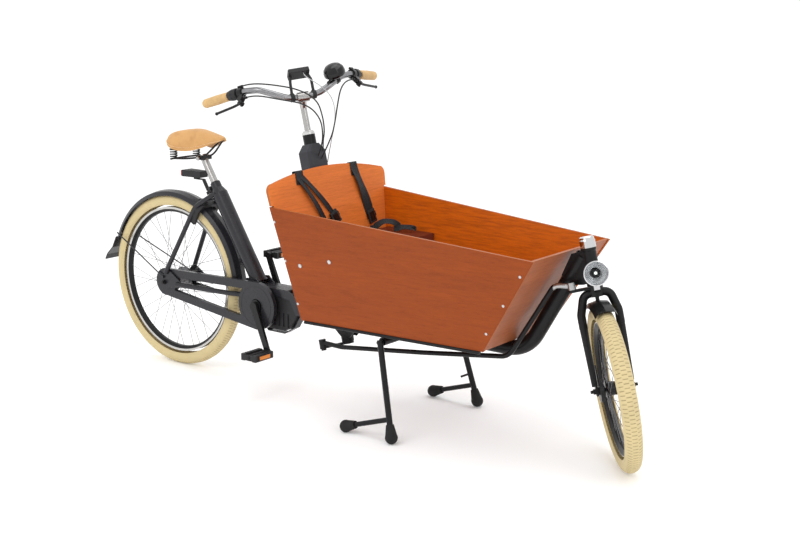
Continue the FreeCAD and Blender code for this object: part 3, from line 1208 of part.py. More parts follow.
guard_cut = fuse(rear_guard, guard_post.cut(rear_guard))
for other in (right_side, left_side, stay_bridge, seat_outer):
    guard_cut = guard_cut.cut(other)
guard_cut = max(guard_cut.Solids, key=lambda p: p.Volume)
node("rear_mudguard", guard_cut, max(flap.cut(rear_guard).Solids, key=lambda p: p.Volume),
     *[max(pair.Solids, key=lambda p: p.Volume) for pair in stays])

# rear light on a strap from the seat tube
LIGHT_X = (66.0, 158.0)
LIGHT_Z = (742.0, 766.0)
light_plan = [V(LIGHT_X[0], -26, LIGHT_Z[0]), V(LIGHT_X[0], 26, LIGHT_Z[0]),
              V(LIGHT_X[1], 20, LIGHT_Z[0]), V(LIGHT_X[1], -20, LIGHT_Z[0])]
light_body = prism(light_plan, V(0, 0, LIGHT_Z[1] - LIGHT_Z[0]))
light_foot = brick(112, 130, -8, 8, 736, LIGHT_Z[0])
light_strap = ribbon([(112, 733), (156, 733), (178, 696), (228, 675)], 3.0, -8, 8).cut(seat_tube)
node("rear_light", fuse(light_body, light_foot), max(light_strap.Solids, key=lambda p: p.Volume))
node("rear_light_lens", brick(LIGHT_X[0] - 6, LIGHT_X[0], -24, 24, LIGHT_Z[0] + 2, LIGHT_Z[1] - 2))

# frame lock: a horseshoe over the tyre, clamped to the seatstays
LOCK_ANGLE = math.radians(60)
lock_radial = V(math.cos(LOCK_ANGLE), 0, math.sin(LOCK_ANGLE))
lock_tangent = V(lock_radial.z, 0, -lock_radial.x)
LOCK_HALF_T = 11.0
lock_inner_r = REAR_GUARD_R + 8.8
lock_outline = [(-52, 278), (-52, 336), (-36, lock_inner_r + 12), (36, lock_inner_r + 12), (52, 336),
                (52, 278), (38.5, 278), (38.5, 338), (28, lock_inner_r), (-28, lock_inner_r),
                (-38.5, 338), (-38.5, 278)]
lock_points = []
for y, r in lock_outline:
    lock_points.append(REAR_AXLE + lock_radial * r + V(0, y, 0) - lock_tangent * LOCK_HALF_T)
lock = prism(lock_points, lock_tangent * (2 * LOCK_HALF_T))
for sign in (-1, 1):
    lug_a = REAR_AXLE + lock_radial * 328 + V(0, sign * 46, 0)
    lug_b = V(135.4, sign * 51, 600)
    lock = fuse(lock, rod(lug_a, lug_b, 5.0))
for other in (right_side, left_side):
    lock = lock.cut(other)
node("ring_lock", max(lock.Solids, key=lambda p: p.Volume))

# ---------------------------------------------------------------- control cables
def cord(points, r):
    """A cable along straight runs with the largest tangent arcs that its runs allow."""
    radii = []
    for i in range(1, len(points) - 1):
        a = points[i - 1] - points[i]
        b = points[i + 1] - points[i]
        half_turn = (math.pi - a.getAngle(b)) / 2
        radii.append(0.45 * min(a.Length, b.Length) / math.tan(half_turn))
    path = route(points, radii)
    tube = pipe(points, r, radii)
    section = math.pi * r * r
    print("cable bends", [round(x) for x in radii], "length", round(path.Length),
          "volume share", round(tube.Volume / (section * path.Length), 3))
    return tube


CABLE_R = 2.5
CABLE_END = 0.3
brake_exit = lever_seat + (lever_pivot - lever_seat) * 0.62 - bar_dir * (BARREL_L + CABLE_END)
brake_run = brake_exit - bar_dir * 38
second_exit = on_bar(LEVER_BACK + CLAMP_W / 2 + 3 + CABLE_END) + bar_up * SECOND_CABLE
second_run = second_exit - bar_dir * 40


def right_of(p):
    """A point in the turned column frame, on the right side."""
    return in_column(p.x, -p.y, p.z)


def case_face(s, h):
    """A point just off the battery case's front face."""
    return COLUMN.multVec(V(CASE_FACE + 4, s, h))


rear_brake_cable = [right_of(brake_exit), right_of(brake_run), V(676, -142, 1068), V(735, -66, 1050),
                    V(752, -16, 1000), V(757, -10, 940), V(745, -8, 895), case_face(-8, 576)]
front_brake_cable = [in_column(*brake_exit), in_column(*brake_run), V(788, 50, 1104), V(798, 20, 1050),
                     V(792, 12, 985), V(778, 8, 930), case_face(6, 566)]
shift_cable = [right_of(second_exit), right_of(second_run), V(636, -126, 1114), V(700, -66, 1098),
               V(728, -5, 1060), V(738, 12, 1000), V(738, 20, 950), V(728, 22, 915), case_face(22, 590)]
under_screen = display_place.multVec(V(14, 14, -7 - CABLE_END))
below_screen = display_place.multVec(V(14, 14, -24))
display_cable = [in_column(*under_screen), in_column(*below_screen), V(716, 2, 1118), V(756, 26, 1084),
                 V(772, 38, 1034), V(770, 36, 970), V(756, 32, 915), case_face(34, 550)]
node("control_cables", cord(rear_brake_cable, CABLE_R), cord(front_brake_cable, CABLE_R),
     cord(shift_cable, CABLE_R), cord(display_cable, 1.6))

# ---------------------------------------------------------------- harness over the back panel
STRAP_W = 38.0
STRAP_T = 2.5


def strap_point(y, s, out):
    return back_at(y, s) + back_normal * out


def front_strap(y0, s0, y1, s1, wide):
    across = unit(V(0, s1 - s0, y0 - y1)) * (wide / 2)
    corners = []
    for y, s, k in ((y0, s0, -1), (y0, s0, 1), (y1, s1, 1), (y1, s1, -1)):
        corners.append(strap_point(y + k * across.y, s + k * across.z, GAP))
    return prism(corners, back_normal * STRAP_T)


def strap_top(y):
    """The arch's height at the strap, along the panel."""
    half = BOX_HALF_REAR_TOP - BACK_CORNER_R
    return back_shoulder + BACK_ARCH - (BACK_ARCH - 2) * (abs(y) / half) ** 2 + 3.0


def over_top(y):
    top = strap_top(y)
    half = STRAP_W / 2
    parts = []
    for out0, out1, s0, s1 in ((-BOX_T - GAP - STRAP_T, GAP + STRAP_T, top, top + STRAP_T),
                               (-BOX_T - GAP - STRAP_T, -BOX_T - GAP, top - 90, top + 0.5),
                               (GAP, GAP + STRAP_T, top - 30, top + 0.5)):
        corners = [strap_point(y - half, s0, out0), strap_point(y + half, s0, out0),
                   strap_point(y + half, s1, out0), strap_point(y - half, s1, out0)]
        parts.append(prism(corners, back_normal * (out1 - out0)))
    return fuse(*parts)


straps = []
for y0, ends in ((-148, ((-40, 300), (0, 330))), (138, ((190, 306),))):
    loop = over_top(y0)
    for y1, s1 in ends:
        loop = fuse(loop, front_strap(y0, strap_top(y0) - 12, y1, s1, 30.0))
        buckle = front_strap(y1 - 2, s1 + 16, y1 + 2, s1 - 34, 40.0)
        loop = fuse(loop, buckle, buckle.translated(back_normal * 6), buckle.translated(back_normal * 3))
    straps.append(loop)
node("harness_straps", *straps)

for name, shape in NODES.items():
    shape.exportStep(os.path.join(PARTS, name + ".step"))
    print(name, len(shape.Solids), round(shape.Volume), shape.isValid())
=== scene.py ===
import json
import math
import bpy
import bmesh
from mathutils import Matrix, Vector


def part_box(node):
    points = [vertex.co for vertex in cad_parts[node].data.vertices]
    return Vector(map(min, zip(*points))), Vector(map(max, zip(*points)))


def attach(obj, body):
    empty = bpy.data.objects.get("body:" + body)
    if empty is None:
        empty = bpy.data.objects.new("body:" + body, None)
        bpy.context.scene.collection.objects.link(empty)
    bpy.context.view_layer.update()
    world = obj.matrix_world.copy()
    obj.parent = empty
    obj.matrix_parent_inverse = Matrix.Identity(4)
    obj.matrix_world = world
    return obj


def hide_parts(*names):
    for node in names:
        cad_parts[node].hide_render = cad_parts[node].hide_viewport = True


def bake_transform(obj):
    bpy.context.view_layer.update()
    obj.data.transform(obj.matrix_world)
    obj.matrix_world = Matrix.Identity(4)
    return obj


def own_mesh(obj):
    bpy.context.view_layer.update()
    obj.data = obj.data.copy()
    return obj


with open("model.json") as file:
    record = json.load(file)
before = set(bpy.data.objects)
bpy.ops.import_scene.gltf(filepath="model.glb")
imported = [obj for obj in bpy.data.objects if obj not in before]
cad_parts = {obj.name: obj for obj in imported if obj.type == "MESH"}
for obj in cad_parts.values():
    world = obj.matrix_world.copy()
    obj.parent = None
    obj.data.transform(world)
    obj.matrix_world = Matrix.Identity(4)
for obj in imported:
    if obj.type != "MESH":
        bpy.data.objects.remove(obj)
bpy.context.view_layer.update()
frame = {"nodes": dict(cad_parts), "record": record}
nodes = frame["nodes"]
record = frame["record"]
joints = {j["name"]: j for j in record["behaviour"]["joints"]}

# ------------------------------------------------------------------ sizes, metres
TYRE_HALF = 0.027
REAR_TYRE_R = 0.334
FRONT_TYRE_R = 0.258
REAR_RIM_EDGE = 0.2735
FRONT_RIM_EDGE = 0.2025
WHEEL_TURN = math.radians(-51)
COLLAR_FOOT = 0.655
ROD_FRONT_X = 1.713
BENCH_TOP = 0.594
EDGE_STRAP_W = 0.038
WEBBING_T = 0.0022
RAIL_R = 0.0036
SPRING_R = 0.013
SPRING_WIRE_R = 0.0024
SPRING_X = 0.062
SPRING_Y = 0.058
SPRING_FOOT = 0.814
SPRING_H = 0.034
FLOOR_RAIL_R = 0.0055
FLOOR_RAIL_Z = 0.344
UP = Vector((0, 0, 1))
ACROSS = Vector((0, 1, 0))
AXES = ((1, 0, 0), (0, 1, 0), (0, 0, 1))


# ------------------------------------------------------------------ material helpers
class Surface:
    """One procedural material; vary, gloss, tint, rise, plate and set add detail and return self."""

    def __init__(self, name, colour, rough=0.5, metal=0.0, spec=0.5):
        self.mat = bpy.data.materials.new(name)
        self.mat.use_nodes = True
        self.tree = self.mat.node_tree
        self.bsdf = self.tree.nodes["Principled BSDF"]
        self.bsdf.inputs["Base Color"].default_value = (*colour, 1)
        self.bsdf.inputs["Roughness"].default_value = rough
        self.bsdf.inputs["Metallic"].default_value = metal
        self.bsdf.inputs["Specular IOR Level"].default_value = spec
        self.colour = None
        self.base = colour
        self.height = None
        self.coords = self.add("ShaderNodeTexCoord").outputs["Object"]

    def add(self, kind, **values):
        """A new shader node."""
        node = self.tree.nodes.new(kind)
        for key, value in values.items():
            setattr(node, key, value)
        return node

    def link(self, a, b):
        """Feeds the first socket into the second."""
        self.tree.links.new(a, b)

    def mapped(self, scale):
        """Object coordinates stretched by three factors."""
        node = self.add("ShaderNodeMapping")
        node.inputs["Scale"].default_value = scale
        self.link(self.coords, node.inputs["Vector"])
        return node.outputs["Vector"]

    def noise(self, scale, detail=3.0, rough=0.5, stretch=(1, 1, 1)):
        """Cloudy values around one half."""
        node = self.add("ShaderNodeTexNoise")
        node.inputs["Scale"].default_value = scale
        node.inputs["Detail"].default_value = detail
        node.inputs["Roughness"].default_value = rough
        self.link(self.mapped(stretch), node.inputs["Vector"])
        return node.outputs["Fac"]

    def ramp(self, value, low, high):
        """Rescales a value so that low becomes 0 and high becomes 1."""
        node = self.add("ShaderNodeMapRange")
        node.inputs["From Min"].default_value = low
        node.inputs["From Max"].default_value = high
        self.link(value, node.inputs["Value"])
        return node.outputs["Result"]

    def math(self, kind, a, b=0.0):
        """The result of one operation on sockets or numbers."""
        node = self.add("ShaderNodeMath", operation=kind)
        for socket, value in zip(node.inputs, (a, b)):
            if isinstance(value, (int, float)):
                socket.default_value = value
            else:
                self.link(value, socket)
        return node.outputs[0]

    def tint(self, factor, colour, strength=1.0):
        """Mixes another colour in where factor is 1."""
        node = self.add("ShaderNodeMix", data_type="RGBA")
        if self.colour is None:
            node.inputs["A"].default_value = (*self.base, 1)
        else:
            self.link(self.colour, node.inputs["A"])
        node.inputs["B"].default_value = (*colour, 1)
        self.link(self.math("MULTIPLY", factor, strength), node.inputs["Factor"])
        self.colour = node.outputs["Result"]
        self.link(self.colour, self.bsdf.inputs["Base Color"])
        return self

    def vary(self, scale, amount, stretch=(1, 1, 1), detail=4.0):
        """Lighter and darker patches of the base colour."""
        fac = self.ramp(self.noise(scale, detail, 0.6, stretch), 0.3, 0.7)
        dark = tuple(c * (1 - amount) for c in self.base)
        return self.tint(fac, dark)

    def gloss(self, scale, low, high):
        """Roughness that changes over the surface."""
        node = self.add("ShaderNodeMapRange")
        node.inputs["From Min"].default_value = 0.3
        node.inputs["From Max"].default_value = 0.7
        node.inputs["To Min"].default_value = low
        node.inputs["To Max"].default_value = high
        self.link(self.noise(scale, 5.0), node.inputs["Value"])
        self.link(node.outputs["Result"], self.bsdf.inputs["Roughness"])
        return self

    def rise(self, value, depth):
        """Adds relief: value 0 to 1 stands depth metres high."""
        node = self.add("ShaderNodeBump")
        node.inputs["Distance"].default_value = depth
        node.inputs["Strength"].default_value = 1.0
        self.link(value, node.inputs["Height"])
        if self.height is not None:
            self.link(self.height, node.inputs["Normal"])
        self.height = node.outputs["Normal"]
        self.link(self.height, self.bsdf.inputs["Normal"])
        return self

    def set(self, **values):
        """Sets the shader's own values; a _ stands for a space in a name."""
        for key, value in values.items():
            self.bsdf.inputs[key.replace("_", " ")].default_value = value
        return self

    def axis(self, name):
        """One coordinate, in object space."""
        node = self.add("ShaderNodeSeparateXYZ")
        self.link(self.coords, node.inputs["Vector"])
        return node.outputs[name]

    def dot(self, origin, direction):
        """Distance along a direction from an origin, in object space."""
        shift = self.add("ShaderNodeVectorMath", operation="SUBTRACT")
        self.link(self.coords, shift.inputs[0])
        shift.inputs[1].default_value = origin
        dot = self.add("ShaderNodeVectorMath", operation="DOT_PRODUCT")
        self.link(shift.outputs["Vector"], dot.inputs[0])
        dot.inputs[1].default_value = direction
        return dot.outputs["Value"]

    def edge_on(self, direction):
        """1 where the face looks across a direction, 0 where it looks either way along it."""
        coord = self.add("ShaderNodeTexCoord")
        dot = self.add("ShaderNodeVectorMath", operation="DOT_PRODUCT")
        self.link(coord.outputs["Normal"], dot.inputs[0])
        dot.inputs[1].default_value = direction
        along = self.math("ABSOLUTE", dot.outputs["Value"])
        return self.ramp(self.math("SUBTRACT", 1.0, along), 0.35, 0.6)

    def turned_from(self, direction):
        """1 where the face looks against a direction."""
        coord = self.add("ShaderNodeTexCoord")
        dot = self.add("ShaderNodeVectorMath", operation="DOT_PRODUCT")
        self.link(coord.outputs["Normal"], dot.inputs[0])
        dot.inputs[1].default_value = -Vector(direction)
        return self.ramp(dot.outputs["Value"], 0.6, 0.8)

    def radius(self, centre, axis):
        """Distance from an axis, in object space."""
        shift = self.add("ShaderNodeVectorMath", operation="SUBTRACT")
        self.link(self.coords, shift.inputs[0])
        shift.inputs[1].default_value = centre
        cross = self.add("ShaderNodeVectorMath", operation="CROSS_PRODUCT")
        self.link(shift.outputs["Vector"], cross.inputs[0])
        cross.inputs[1].default_value = axis
        length = self.add("ShaderNodeVectorMath", operation="LENGTH")
        self.link(cross.outputs["Vector"], length.inputs[0])
        return length.outputs["Value"]

    def plate(self, factor, colour, metal):
        """Makes the surface a metal of another colour where factor is 1."""
        self.tint(factor, colour)
        node = self.add("ShaderNodeMix", data_type="FLOAT")
        node.inputs["A"].default_value = self.bsdf.inputs["Metallic"].default_value
        node.inputs["B"].default_value = metal
        self.link(factor, node.inputs["Factor"])
        self.link(node.outputs["Result"], self.bsdf.inputs["Metallic"])
        return self

    def stripes(self, value, pitch, sharp=0.35):
        """0 to 1 ridges across a distance."""
        wave = self.math("SINE", self.math("MULTIPLY", value, 2 * math.pi / pitch))
        return self.ramp(wave, -sharp, sharp)


def paint(name, colour, rough, metal, spec):
    """Sprayed paint with a faint orange peel."""
    surface = Surface(name, colour, rough, metal, spec)
    surface.vary(6.0, 0.25).gloss(14.0, rough - 0.05, rough + 0.07)
    surface.rise(surface.noise(900.0, 2.0), 0.00004)
    return surface


def plastic(name, colour, rough):
    """Moulded plastic or rubber with a fine texture."""
    surface = Surface(name, colour, rough, 0.0, 0.28)
    surface.vary(9.0, 0.2).gloss(25.0, rough - 0.06, rough + 0.08)
    surface.rise(surface.noise(1600.0, 2.0), 0.00006)
    return surface


def alloy(name, colour, rough):
    """Bare metal with patches of duller surface."""
    surface = Surface(name, colour, rough, 1.0)
    surface.vary(15.0, 0.12).gloss(30.0, rough - 0.05, rough + 0.1)
    surface.rise(surface.noise(700.0, 2.0), 0.00002)
    return surface


# ------------------------------------------------------------------ mesh helpers
def mesh_object(name, verts, faces, surface, body, smooth=True):
    """A mesh of one material that rides on a body."""
    mesh = bpy.data.meshes.new(name)
    mesh.from_pydata([tuple(v) for v in verts], [], faces)
    mesh.materials.append(surface.mat)
    mesh.polygons.foreach_set("use_smooth", [smooth] * len(mesh.polygons))
    mesh.update()
    piece = bpy.data.objects.new(name, mesh)
    bpy.context.scene.collection.objects.link(piece)
    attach(piece, body)
    return piece


def frame_of(axis):
    """Two unit vectors across an axis."""
    axis = Vector(axis).normalized()
    hint = Vector((1, 0, 0)) if abs(axis.dot(UP)) > 0.95 else UP
    side = axis.cross(hint).normalized()
    return side, axis.cross(side).normalized()


def lathe(name, profile, base, axis, surface, body, steps):
    """Turns (radius, height) points about an axis; ends with radius 0 close it."""
    axis = Vector(axis).normalized()
    side, up = frame_of(axis)
    verts = []
    for r, h in profile:
        for k in range(steps):
            turn = 2 * math.pi * k / steps
            verts.append(Vector(base) + axis * h + (side * math.cos(turn) + up * math.sin(turn)) * r)
    faces = []
    for i in range(len(profile) - 1):
        for k in range(steps):
            j = (k + 1) % steps
            faces.append((i * steps + k, i * steps + j, (i + 1) * steps + j, (i + 1) * steps + k))
    piece = mesh_object(name, verts, faces, surface, body)
    tidy(piece, 35)
    return piece


def tidy(piece, sharp):
    """Merges doubles, makes the normals consistent and keeps edges over an angle sharp."""
    bm = bmesh.new()
    bm.from_mesh(piece.data)
    bmesh.ops.remove_doubles(bm, verts=bm.verts, dist=1e-6)
    bmesh.ops.dissolve_degenerate(bm, edges=bm.edges, dist=1e-7)
    bmesh.ops.recalc_face_normals(bm, faces=bm.faces)
    for edge in bm.edges:
        edge.smooth = len(edge.link_faces) == 2 and edge.calc_face_angle(0) < math.radians(sharp)
    bm.to_mesh(piece.data)
    bm.free()


def join(name, parts):
    """Joins loose pieces of one body into one mesh object."""
    bpy.ops.object.select_all(action="DESELECT")
    for part in parts:
        part.select_set(True)
    bpy.context.view_layer.objects.active = parts[0]
    bpy.ops.object.join()
    parts[0].name = name
    return parts[0]


def route_mesh(name, points, radius, steps=12):
    """The mesh of a NURBS route, a bare line where the radius is 0."""
    curve = bpy.data.curves.new(name, "CURVE")
    curve.dimensions = "3D"
    curve.resolution_u = steps
    curve.bevel_depth = radius
    curve.bevel_resolution = 4
    curve.use_fill_caps = True
    spline = curve.splines.new("NURBS")
    spline.points.add(len(points) - 1)
    for spot, point in zip(spline.points, points):
        spot.co = (*point, 1)
    spline.order_u = 3
    spline.use_endpoint_u = True
    holder = bpy.data.objects.new(name, curve)
    bpy.context.scene.collection.objects.link(holder)
    bpy.context.view_layer.update()
    mesh = bpy.data.meshes.new_from_object(holder)
    bpy.data.objects.remove(holder)
    return mesh


def wire(name, points, radius, surface, body):
    """A round rod or wire along a smooth route."""
    mesh = route_mesh(name, points, radius, 4)
    mesh.materials.clear()
    mesh.materials.append(surface.mat)
    mesh.polygons.foreach_set("use_smooth", [True] * len(mesh.polygons))
    piece = bpy.data.objects.new(name, mesh)
    bpy.context.scene.collection.objects.link(piece)
    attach(piece, body)
    return piece


def block(name, centre, axes, half, surface, body, bevel):
    """A bevelled block with its own three axes and half sizes."""
    verts = []
    for i in (-1, 1):
        for j in (-1, 1):
            for k in (-1, 1):
                verts.append(Vector(centre) + Vector(axes[0]) * half[0] * i
                             + Vector(axes[1]) * half[1] * j + Vector(axes[2]) * half[2] * k)
    faces = [(0, 1, 3, 2), (4, 6, 7, 5), (0, 4, 5, 1), (2, 3, 7, 6), (0, 2, 6, 4), (1, 5, 7, 3)]
    piece = mesh_object(name, verts, faces, surface, body, smooth=False)
    bm = bmesh.new()
    bm.from_mesh(piece.data)
    bmesh.ops.recalc_face_normals(bm, faces=bm.faces)
    bmesh.ops.bevel(bm, geom=bm.edges, offset=bevel, segments=2, profile=0.6, affect="EDGES")
    bm.to_mesh(piece.data)
    bm.free()
    return piece


def dress(surface, *names):
    """Gives CAD nodes a material."""
    for name in names:
        node = nodes[name]
        if not node.material_slots:
            node.data.materials.append(surface.mat)
        for slot in node.material_slots:
            slot.material = surface.mat


def soften(name, width):
    """Small rounded edges on a flat-sided CAD node."""
    weld = nodes[name].modifiers.new("weld", "WELD")
    weld.merge_threshold = 1e-5
    bevel = nodes[name].modifiers.new("edges", "BEVEL")
    bevel.width = width
    bevel.segments = 3
    bevel.limit_method = "ANGLE"
    bevel.angle_limit = math.radians(40)
    bevel.harden_normals = False


def steering(joint, turn):
    """Placement of a turned steering frame: X forward, Y left, Z up the axis."""
    z = Vector(joints[joint]["axis"]).normalized()
    x = ACROSS.cross(z)
    lean = Matrix((x, ACROSS, z)).transposed().to_4x4()
    return Matrix.Translation(joints[joint]["pos_m"]) @ lean @ Matrix.Rotation(turn, 4, "Z")


fork = steering("fork_turn", WHEEL_TURN)

# ------------------------------------------------------------------ camera and light
camera_data = bpy.data.cameras.new("camera")
camera_data.sensor_width = 36
camera_data.lens = 59.24
camera = bpy.data.objects.new("camera", camera_data)
camera.location = (3.709, -3.4125, 1.4379)
camera.rotation_euler = (math.radians(78), 0, math.radians(37.6))
bpy.context.scene.collection.objects.link(camera)
bpy.context.scene.camera = camera
bpy.context.scene.view_settings.view_transform = "Standard"
bpy.context.scene.view_settings.look = "None"

world = bpy.data.worlds.new("studio")
world.use_nodes = True
world.node_tree.nodes["Background"].inputs["Color"].default_value = (1, 1, 1, 1)
world.node_tree.nodes["Background"].inputs["Strength"].default_value = 1.08
bpy.context.scene.world = world


def softbox(name, place, target, size, power):
    """A soft rectangular lamp that looks at a target."""
    light = bpy.data.lights.new(name, "AREA")
    light.shape = "RECTANGLE"
    light.size, light.size_y = size
    light.energy = power
    lamp = bpy.data.objects.new(name, light)
    lamp.location = place
    lamp.rotation_euler = (Vector(target) - Vector(place)).to_track_quat("-Z", "Y").to_euler()
    bpy.context.scene.collection.objects.link(lamp)


softbox("key", (0.6, -3.6, 3.4), (0.9, 0, 0.5), (2.6, 1.6), 42)
softbox("fill", (4.6, -0.8, 2.4), (1.2, 0, 0.5), (2.0, 2.0), 16)
softbox("top", (0.8, 0.4, 4.2), (0.9, 0, 0.4), (3.4, 2.4), 40)

floor_surface = Surface("studio_floor", (0.95, 0.95, 0.95), 0.9)
floor_surface.vary(2.0, 0.01)
floor_surface.set(Emission_Color=(1, 1, 1, 1), Emission_Strength=0.10)
floor_mesh = bpy.data.meshes.new("floor")
floor_mesh.from_pydata([(-40, -40, 0), (40, -40, 0), (40, 40, 0), (-40, 40, 0)], [], [(0, 1, 2, 3)])
floor_mesh.materials.append(floor_surface.mat)
floor = bpy.data.objects.new("floor", floor_mesh)
bpy.context.scene.collection.objects.link(floor)

# ------------------------------------------------------------------ materials
anthracite = paint("anthracite_paint", (0.024, 0.024, 0.029), 0.26, 0.1, 0.34)
BLACK_PAINT = ((0.008, 0.008, 0.009), 0.30, 0.0, 0.22)
black = paint("black_paint", *BLACK_PAINT)
black_alloy = paint("black_alloy", (0.009, 0.009, 0.010), 0.26, 0.0, 0.26)
matt_plastic = plastic("matt_plastic", (0.020, 0.020, 0.022), 0.5)
case_plastic = plastic("case_plastic", (0.036, 0.037, 0.044), 0.45)
gloss_black = Surface("gloss_black", (0.004, 0.004, 0.005), 0.10, 0.0, 0.2)
gloss_black.set(Coat_Weight=0.3, Coat_Roughness=0.05).vary(5.0, 0.2)
rubber = plastic("black_rubber", (0.016, 0.016, 0.016), 0.75)
silver = alloy("silver_alloy", (0.44, 0.43, 0.42), 0.22)
bar_silver = alloy("bar_alloy", (0.28, 0.28, 0.29), 0.26)
steel = alloy("bright_steel", (0.60, 0.60, 0.60), 0.25)
spoke_steel = alloy("spoke_wire", (0.17, 0.17, 0.175), 0.28)
hub_alloy = alloy("hub_alloy", (0.20, 0.20, 0.21), 0.35)
chrome = Surface("chrome", (0.62, 0.62, 0.63), 0.07, 1.0)
chrome.vary(8.0, 0.05).gloss(20.0, 0.04, 0.12)
chain_steel = alloy("chain_steel", (0.18, 0.16, 0.13), 0.4)
cable_rubber = plastic("cable_jacket", (0.022, 0.022, 0.023), 0.42)
cable_steel = alloy("cable_silver", (0.48, 0.48, 0.49), 0.3)

cream = Surface("cream_rubber", (0.62, 0.505, 0.27), 0.62, 0.0, 0.35)
cream.vary(7.0, 0.14).gloss(30.0, 0.55, 0.75)
cream.tint(cream.ramp(cream.noise(45.0, 6.0, 0.7), 0.58, 0.75), (0.46, 0.38, 0.23), 0.4)
cream.rise(cream.noise(1200.0, 3.0), 0.0001)
# painted shade: the sunk tread grooves get a darker cream than the tyre
groove = Surface("tread_groove_shade", (0.42, 0.33, 0.17), 0.8, 0.0, 0.2)
groove.vary(40.0, 0.3).rise(groove.noise(1500.0, 3.0), 0.0001)


def plywood(name, colour, edge, grain, thick_dir, origin, inner_face_light=None):
    """Stained plywood: long grain on the faces, layers on the cut edges, and perhaps a painted-light colour
    on the inner face.
    """
    surface = Surface(name, colour, 0.40, 0.0, 0.12)
    surface.vary(3.2, 0.22, grain, 6.0)
    # painted light: the inner face gets a brighter, stronger orange than the outer face of the same plywood
    if inner_face_light:
        surface.tint(surface.turned_from(thick_dir), inner_face_light)
    streak = surface.ramp(surface.noise(30.0, 8.0, 0.65, grain), 0.42, 0.68)
    surface.tint(streak, tuple(c * 0.55 for c in colour), 0.55)
    fine = surface.ramp(surface.noise(160.0, 4.0, 0.6, grain), 0.35, 0.62)
    surface.tint(fine, tuple(c * 1.35 for c in colour), 0.28)
    across = surface.dot(origin, thick_dir)
    cut = surface.edge_on(thick_dir)
    surface.tint(cut, edge, 0.75)
    layers = surface.stripes(across, 0.0028, 0.5)
    surface.tint(surface.math("MULTIPLY", cut, layers), tuple(c * 0.5 for c in edge), 0.6)
    surface.gloss(12.0, 0.30, 0.46)
    surface.rise(surface.noise(420.0, 4.0, 0.6, grain), 0.00006)
    surface.set(Coat_Weight=0.05, Coat_Roughness=0.25)
    return surface


# each panel's direction across its thickness, and a corner that its layers are counted from
STAIN = (0.285, 0.056, 0.009)
CUT = (0.44, 0.13, 0.035)
# painted light: a brighter, stronger orange for the side panels' inner faces
INNER_FACE_LIGHT = (0.62, 0.125, 0.003)
ALONG_X = (0.25, 5.0, 5.0)
ALONG_Y = (5.0, 0.25, 5.0)
right_out = Vector((0.0619, -0.9860, -0.1548)).normalized()
left_out = Vector((right_out.x, -right_out.y, right_out.z))
front_out = Vector((0.846, 0, -0.533))
panel_out = Vector((0.9815, 0, 0.1917))
right_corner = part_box("side_panel_right")[0]
left_corner = (right_corner[0], -right_corner[1], right_corner[2])

dress(plywood("plywood_side_right", STAIN, CUT, ALONG_X, right_out, right_corner, INNER_FACE_LIGHT), "side_panel_right")
dress(plywood("plywood_side_left", STAIN, CUT, ALONG_X, left_out, left_corner, INNER_FACE_LIGHT), "side_panel_left")
# painted sheen: the front panel gets a lighter, greyer orange than the same plywood on the sides
dress(plywood("plywood_front_sheen", (0.36, 0.11, 0.045), CUT, ALONG_Y, front_out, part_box("front_panel")[0]),
      "front_panel")
# painted light: the back panel gets a much lighter orange than the same plywood on the sides
dress(plywood("plywood_back_lit", (0.72, 0.185, 0.035), CUT, ALONG_Y, panel_out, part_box("back_panel")[0]),
      "back_panel")
dress(plywood("plywood_floor", STAIN, CUT, ALONG_X, UP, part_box("floor_panel")[0]), "floor_panel")
# the bench's dark brown and darker cut edges are partly painted shade, for the shadow the bench lies in
dress(plywood("plywood_bench_shaded", (0.12, 0.022, 0.010), (0.20, 0.05, 0.03), ALONG_Y, UP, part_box("bench")[0]),
      "bench")
for name in ("side_panel_right", "side_panel_left", "front_panel", "back_panel", "floor_panel"):
    soften(name, 0.0012)

dress(anthracite, "seat_tube", "rear_triangle", "chain_case", "rear_mudguard", "motor_bracket")
dress(black, "main_tube", "column_head_tube", "front_head_tube", "fork", "kickstand", "front_mudguard")
# the column ends in a bright collar, and the rod in a bright front housing
column_foot = Vector(joints["column_turn"]["pos_m"])
column_axis = Vector(joints["column_turn"]["axis"])
column_paint = paint("column_paint", *BLACK_PAINT)
height = column_paint.dot(column_foot, column_axis)
collar = column_paint.ramp(height, COLLAR_FOOT - 0.0002, COLLAR_FOOT + 0.0002)
column_paint.plate(collar, (0.62, 0.62, 0.61), 1.0)
dress(column_paint, "steering_column")
rod_paint = paint("rod_paint", *BLACK_PAINT)
forward = rod_paint.axis("X")
housing = rod_paint.ramp(forward, ROD_FRONT_X - 0.001, ROD_FRONT_X + 0.001)
rod_paint.plate(housing, (0.42, 0.42, 0.42), 1.0)
dress(rod_paint, "steering_rod")
dress(black_alloy, "rear_axle_and_brake", "front_axle_and_brake", "crankset", "lever_clamps",
      "brake_lever_left", "brake_lever_right", "seat_clamp_lever")
dress(matt_plastic, "drive_unit", "pedal_right", "pedal_left", "twist_shifter", "display", "rear_light",
      "ring_lock")
dress(case_plastic, "battery_case")
dress(gloss_black, "bell", "bell_lever")
dress(silver, "stem", "seat_post")
dress(bar_silver, "handlebar")
dress(chrome, "headset_cap", "headlight")
dress(spoke_steel, "front_spokes", "rear_spokes")
dress(steel, "rear_sprocket", "box_fittings")
dress(hub_alloy, "rear_hub")
dress(black_alloy, "front_hub")
dress(chain_steel, "chain")
dress(rubber, "kickstand_feet")

rear_axle = Vector(joints["rear_wheel_spin"]["pos_m"])
front_axle = Vector(joints["front_wheel_spin"]["pos_m"])
front_axis = Vector(joints["front_wheel_spin"]["axis"])
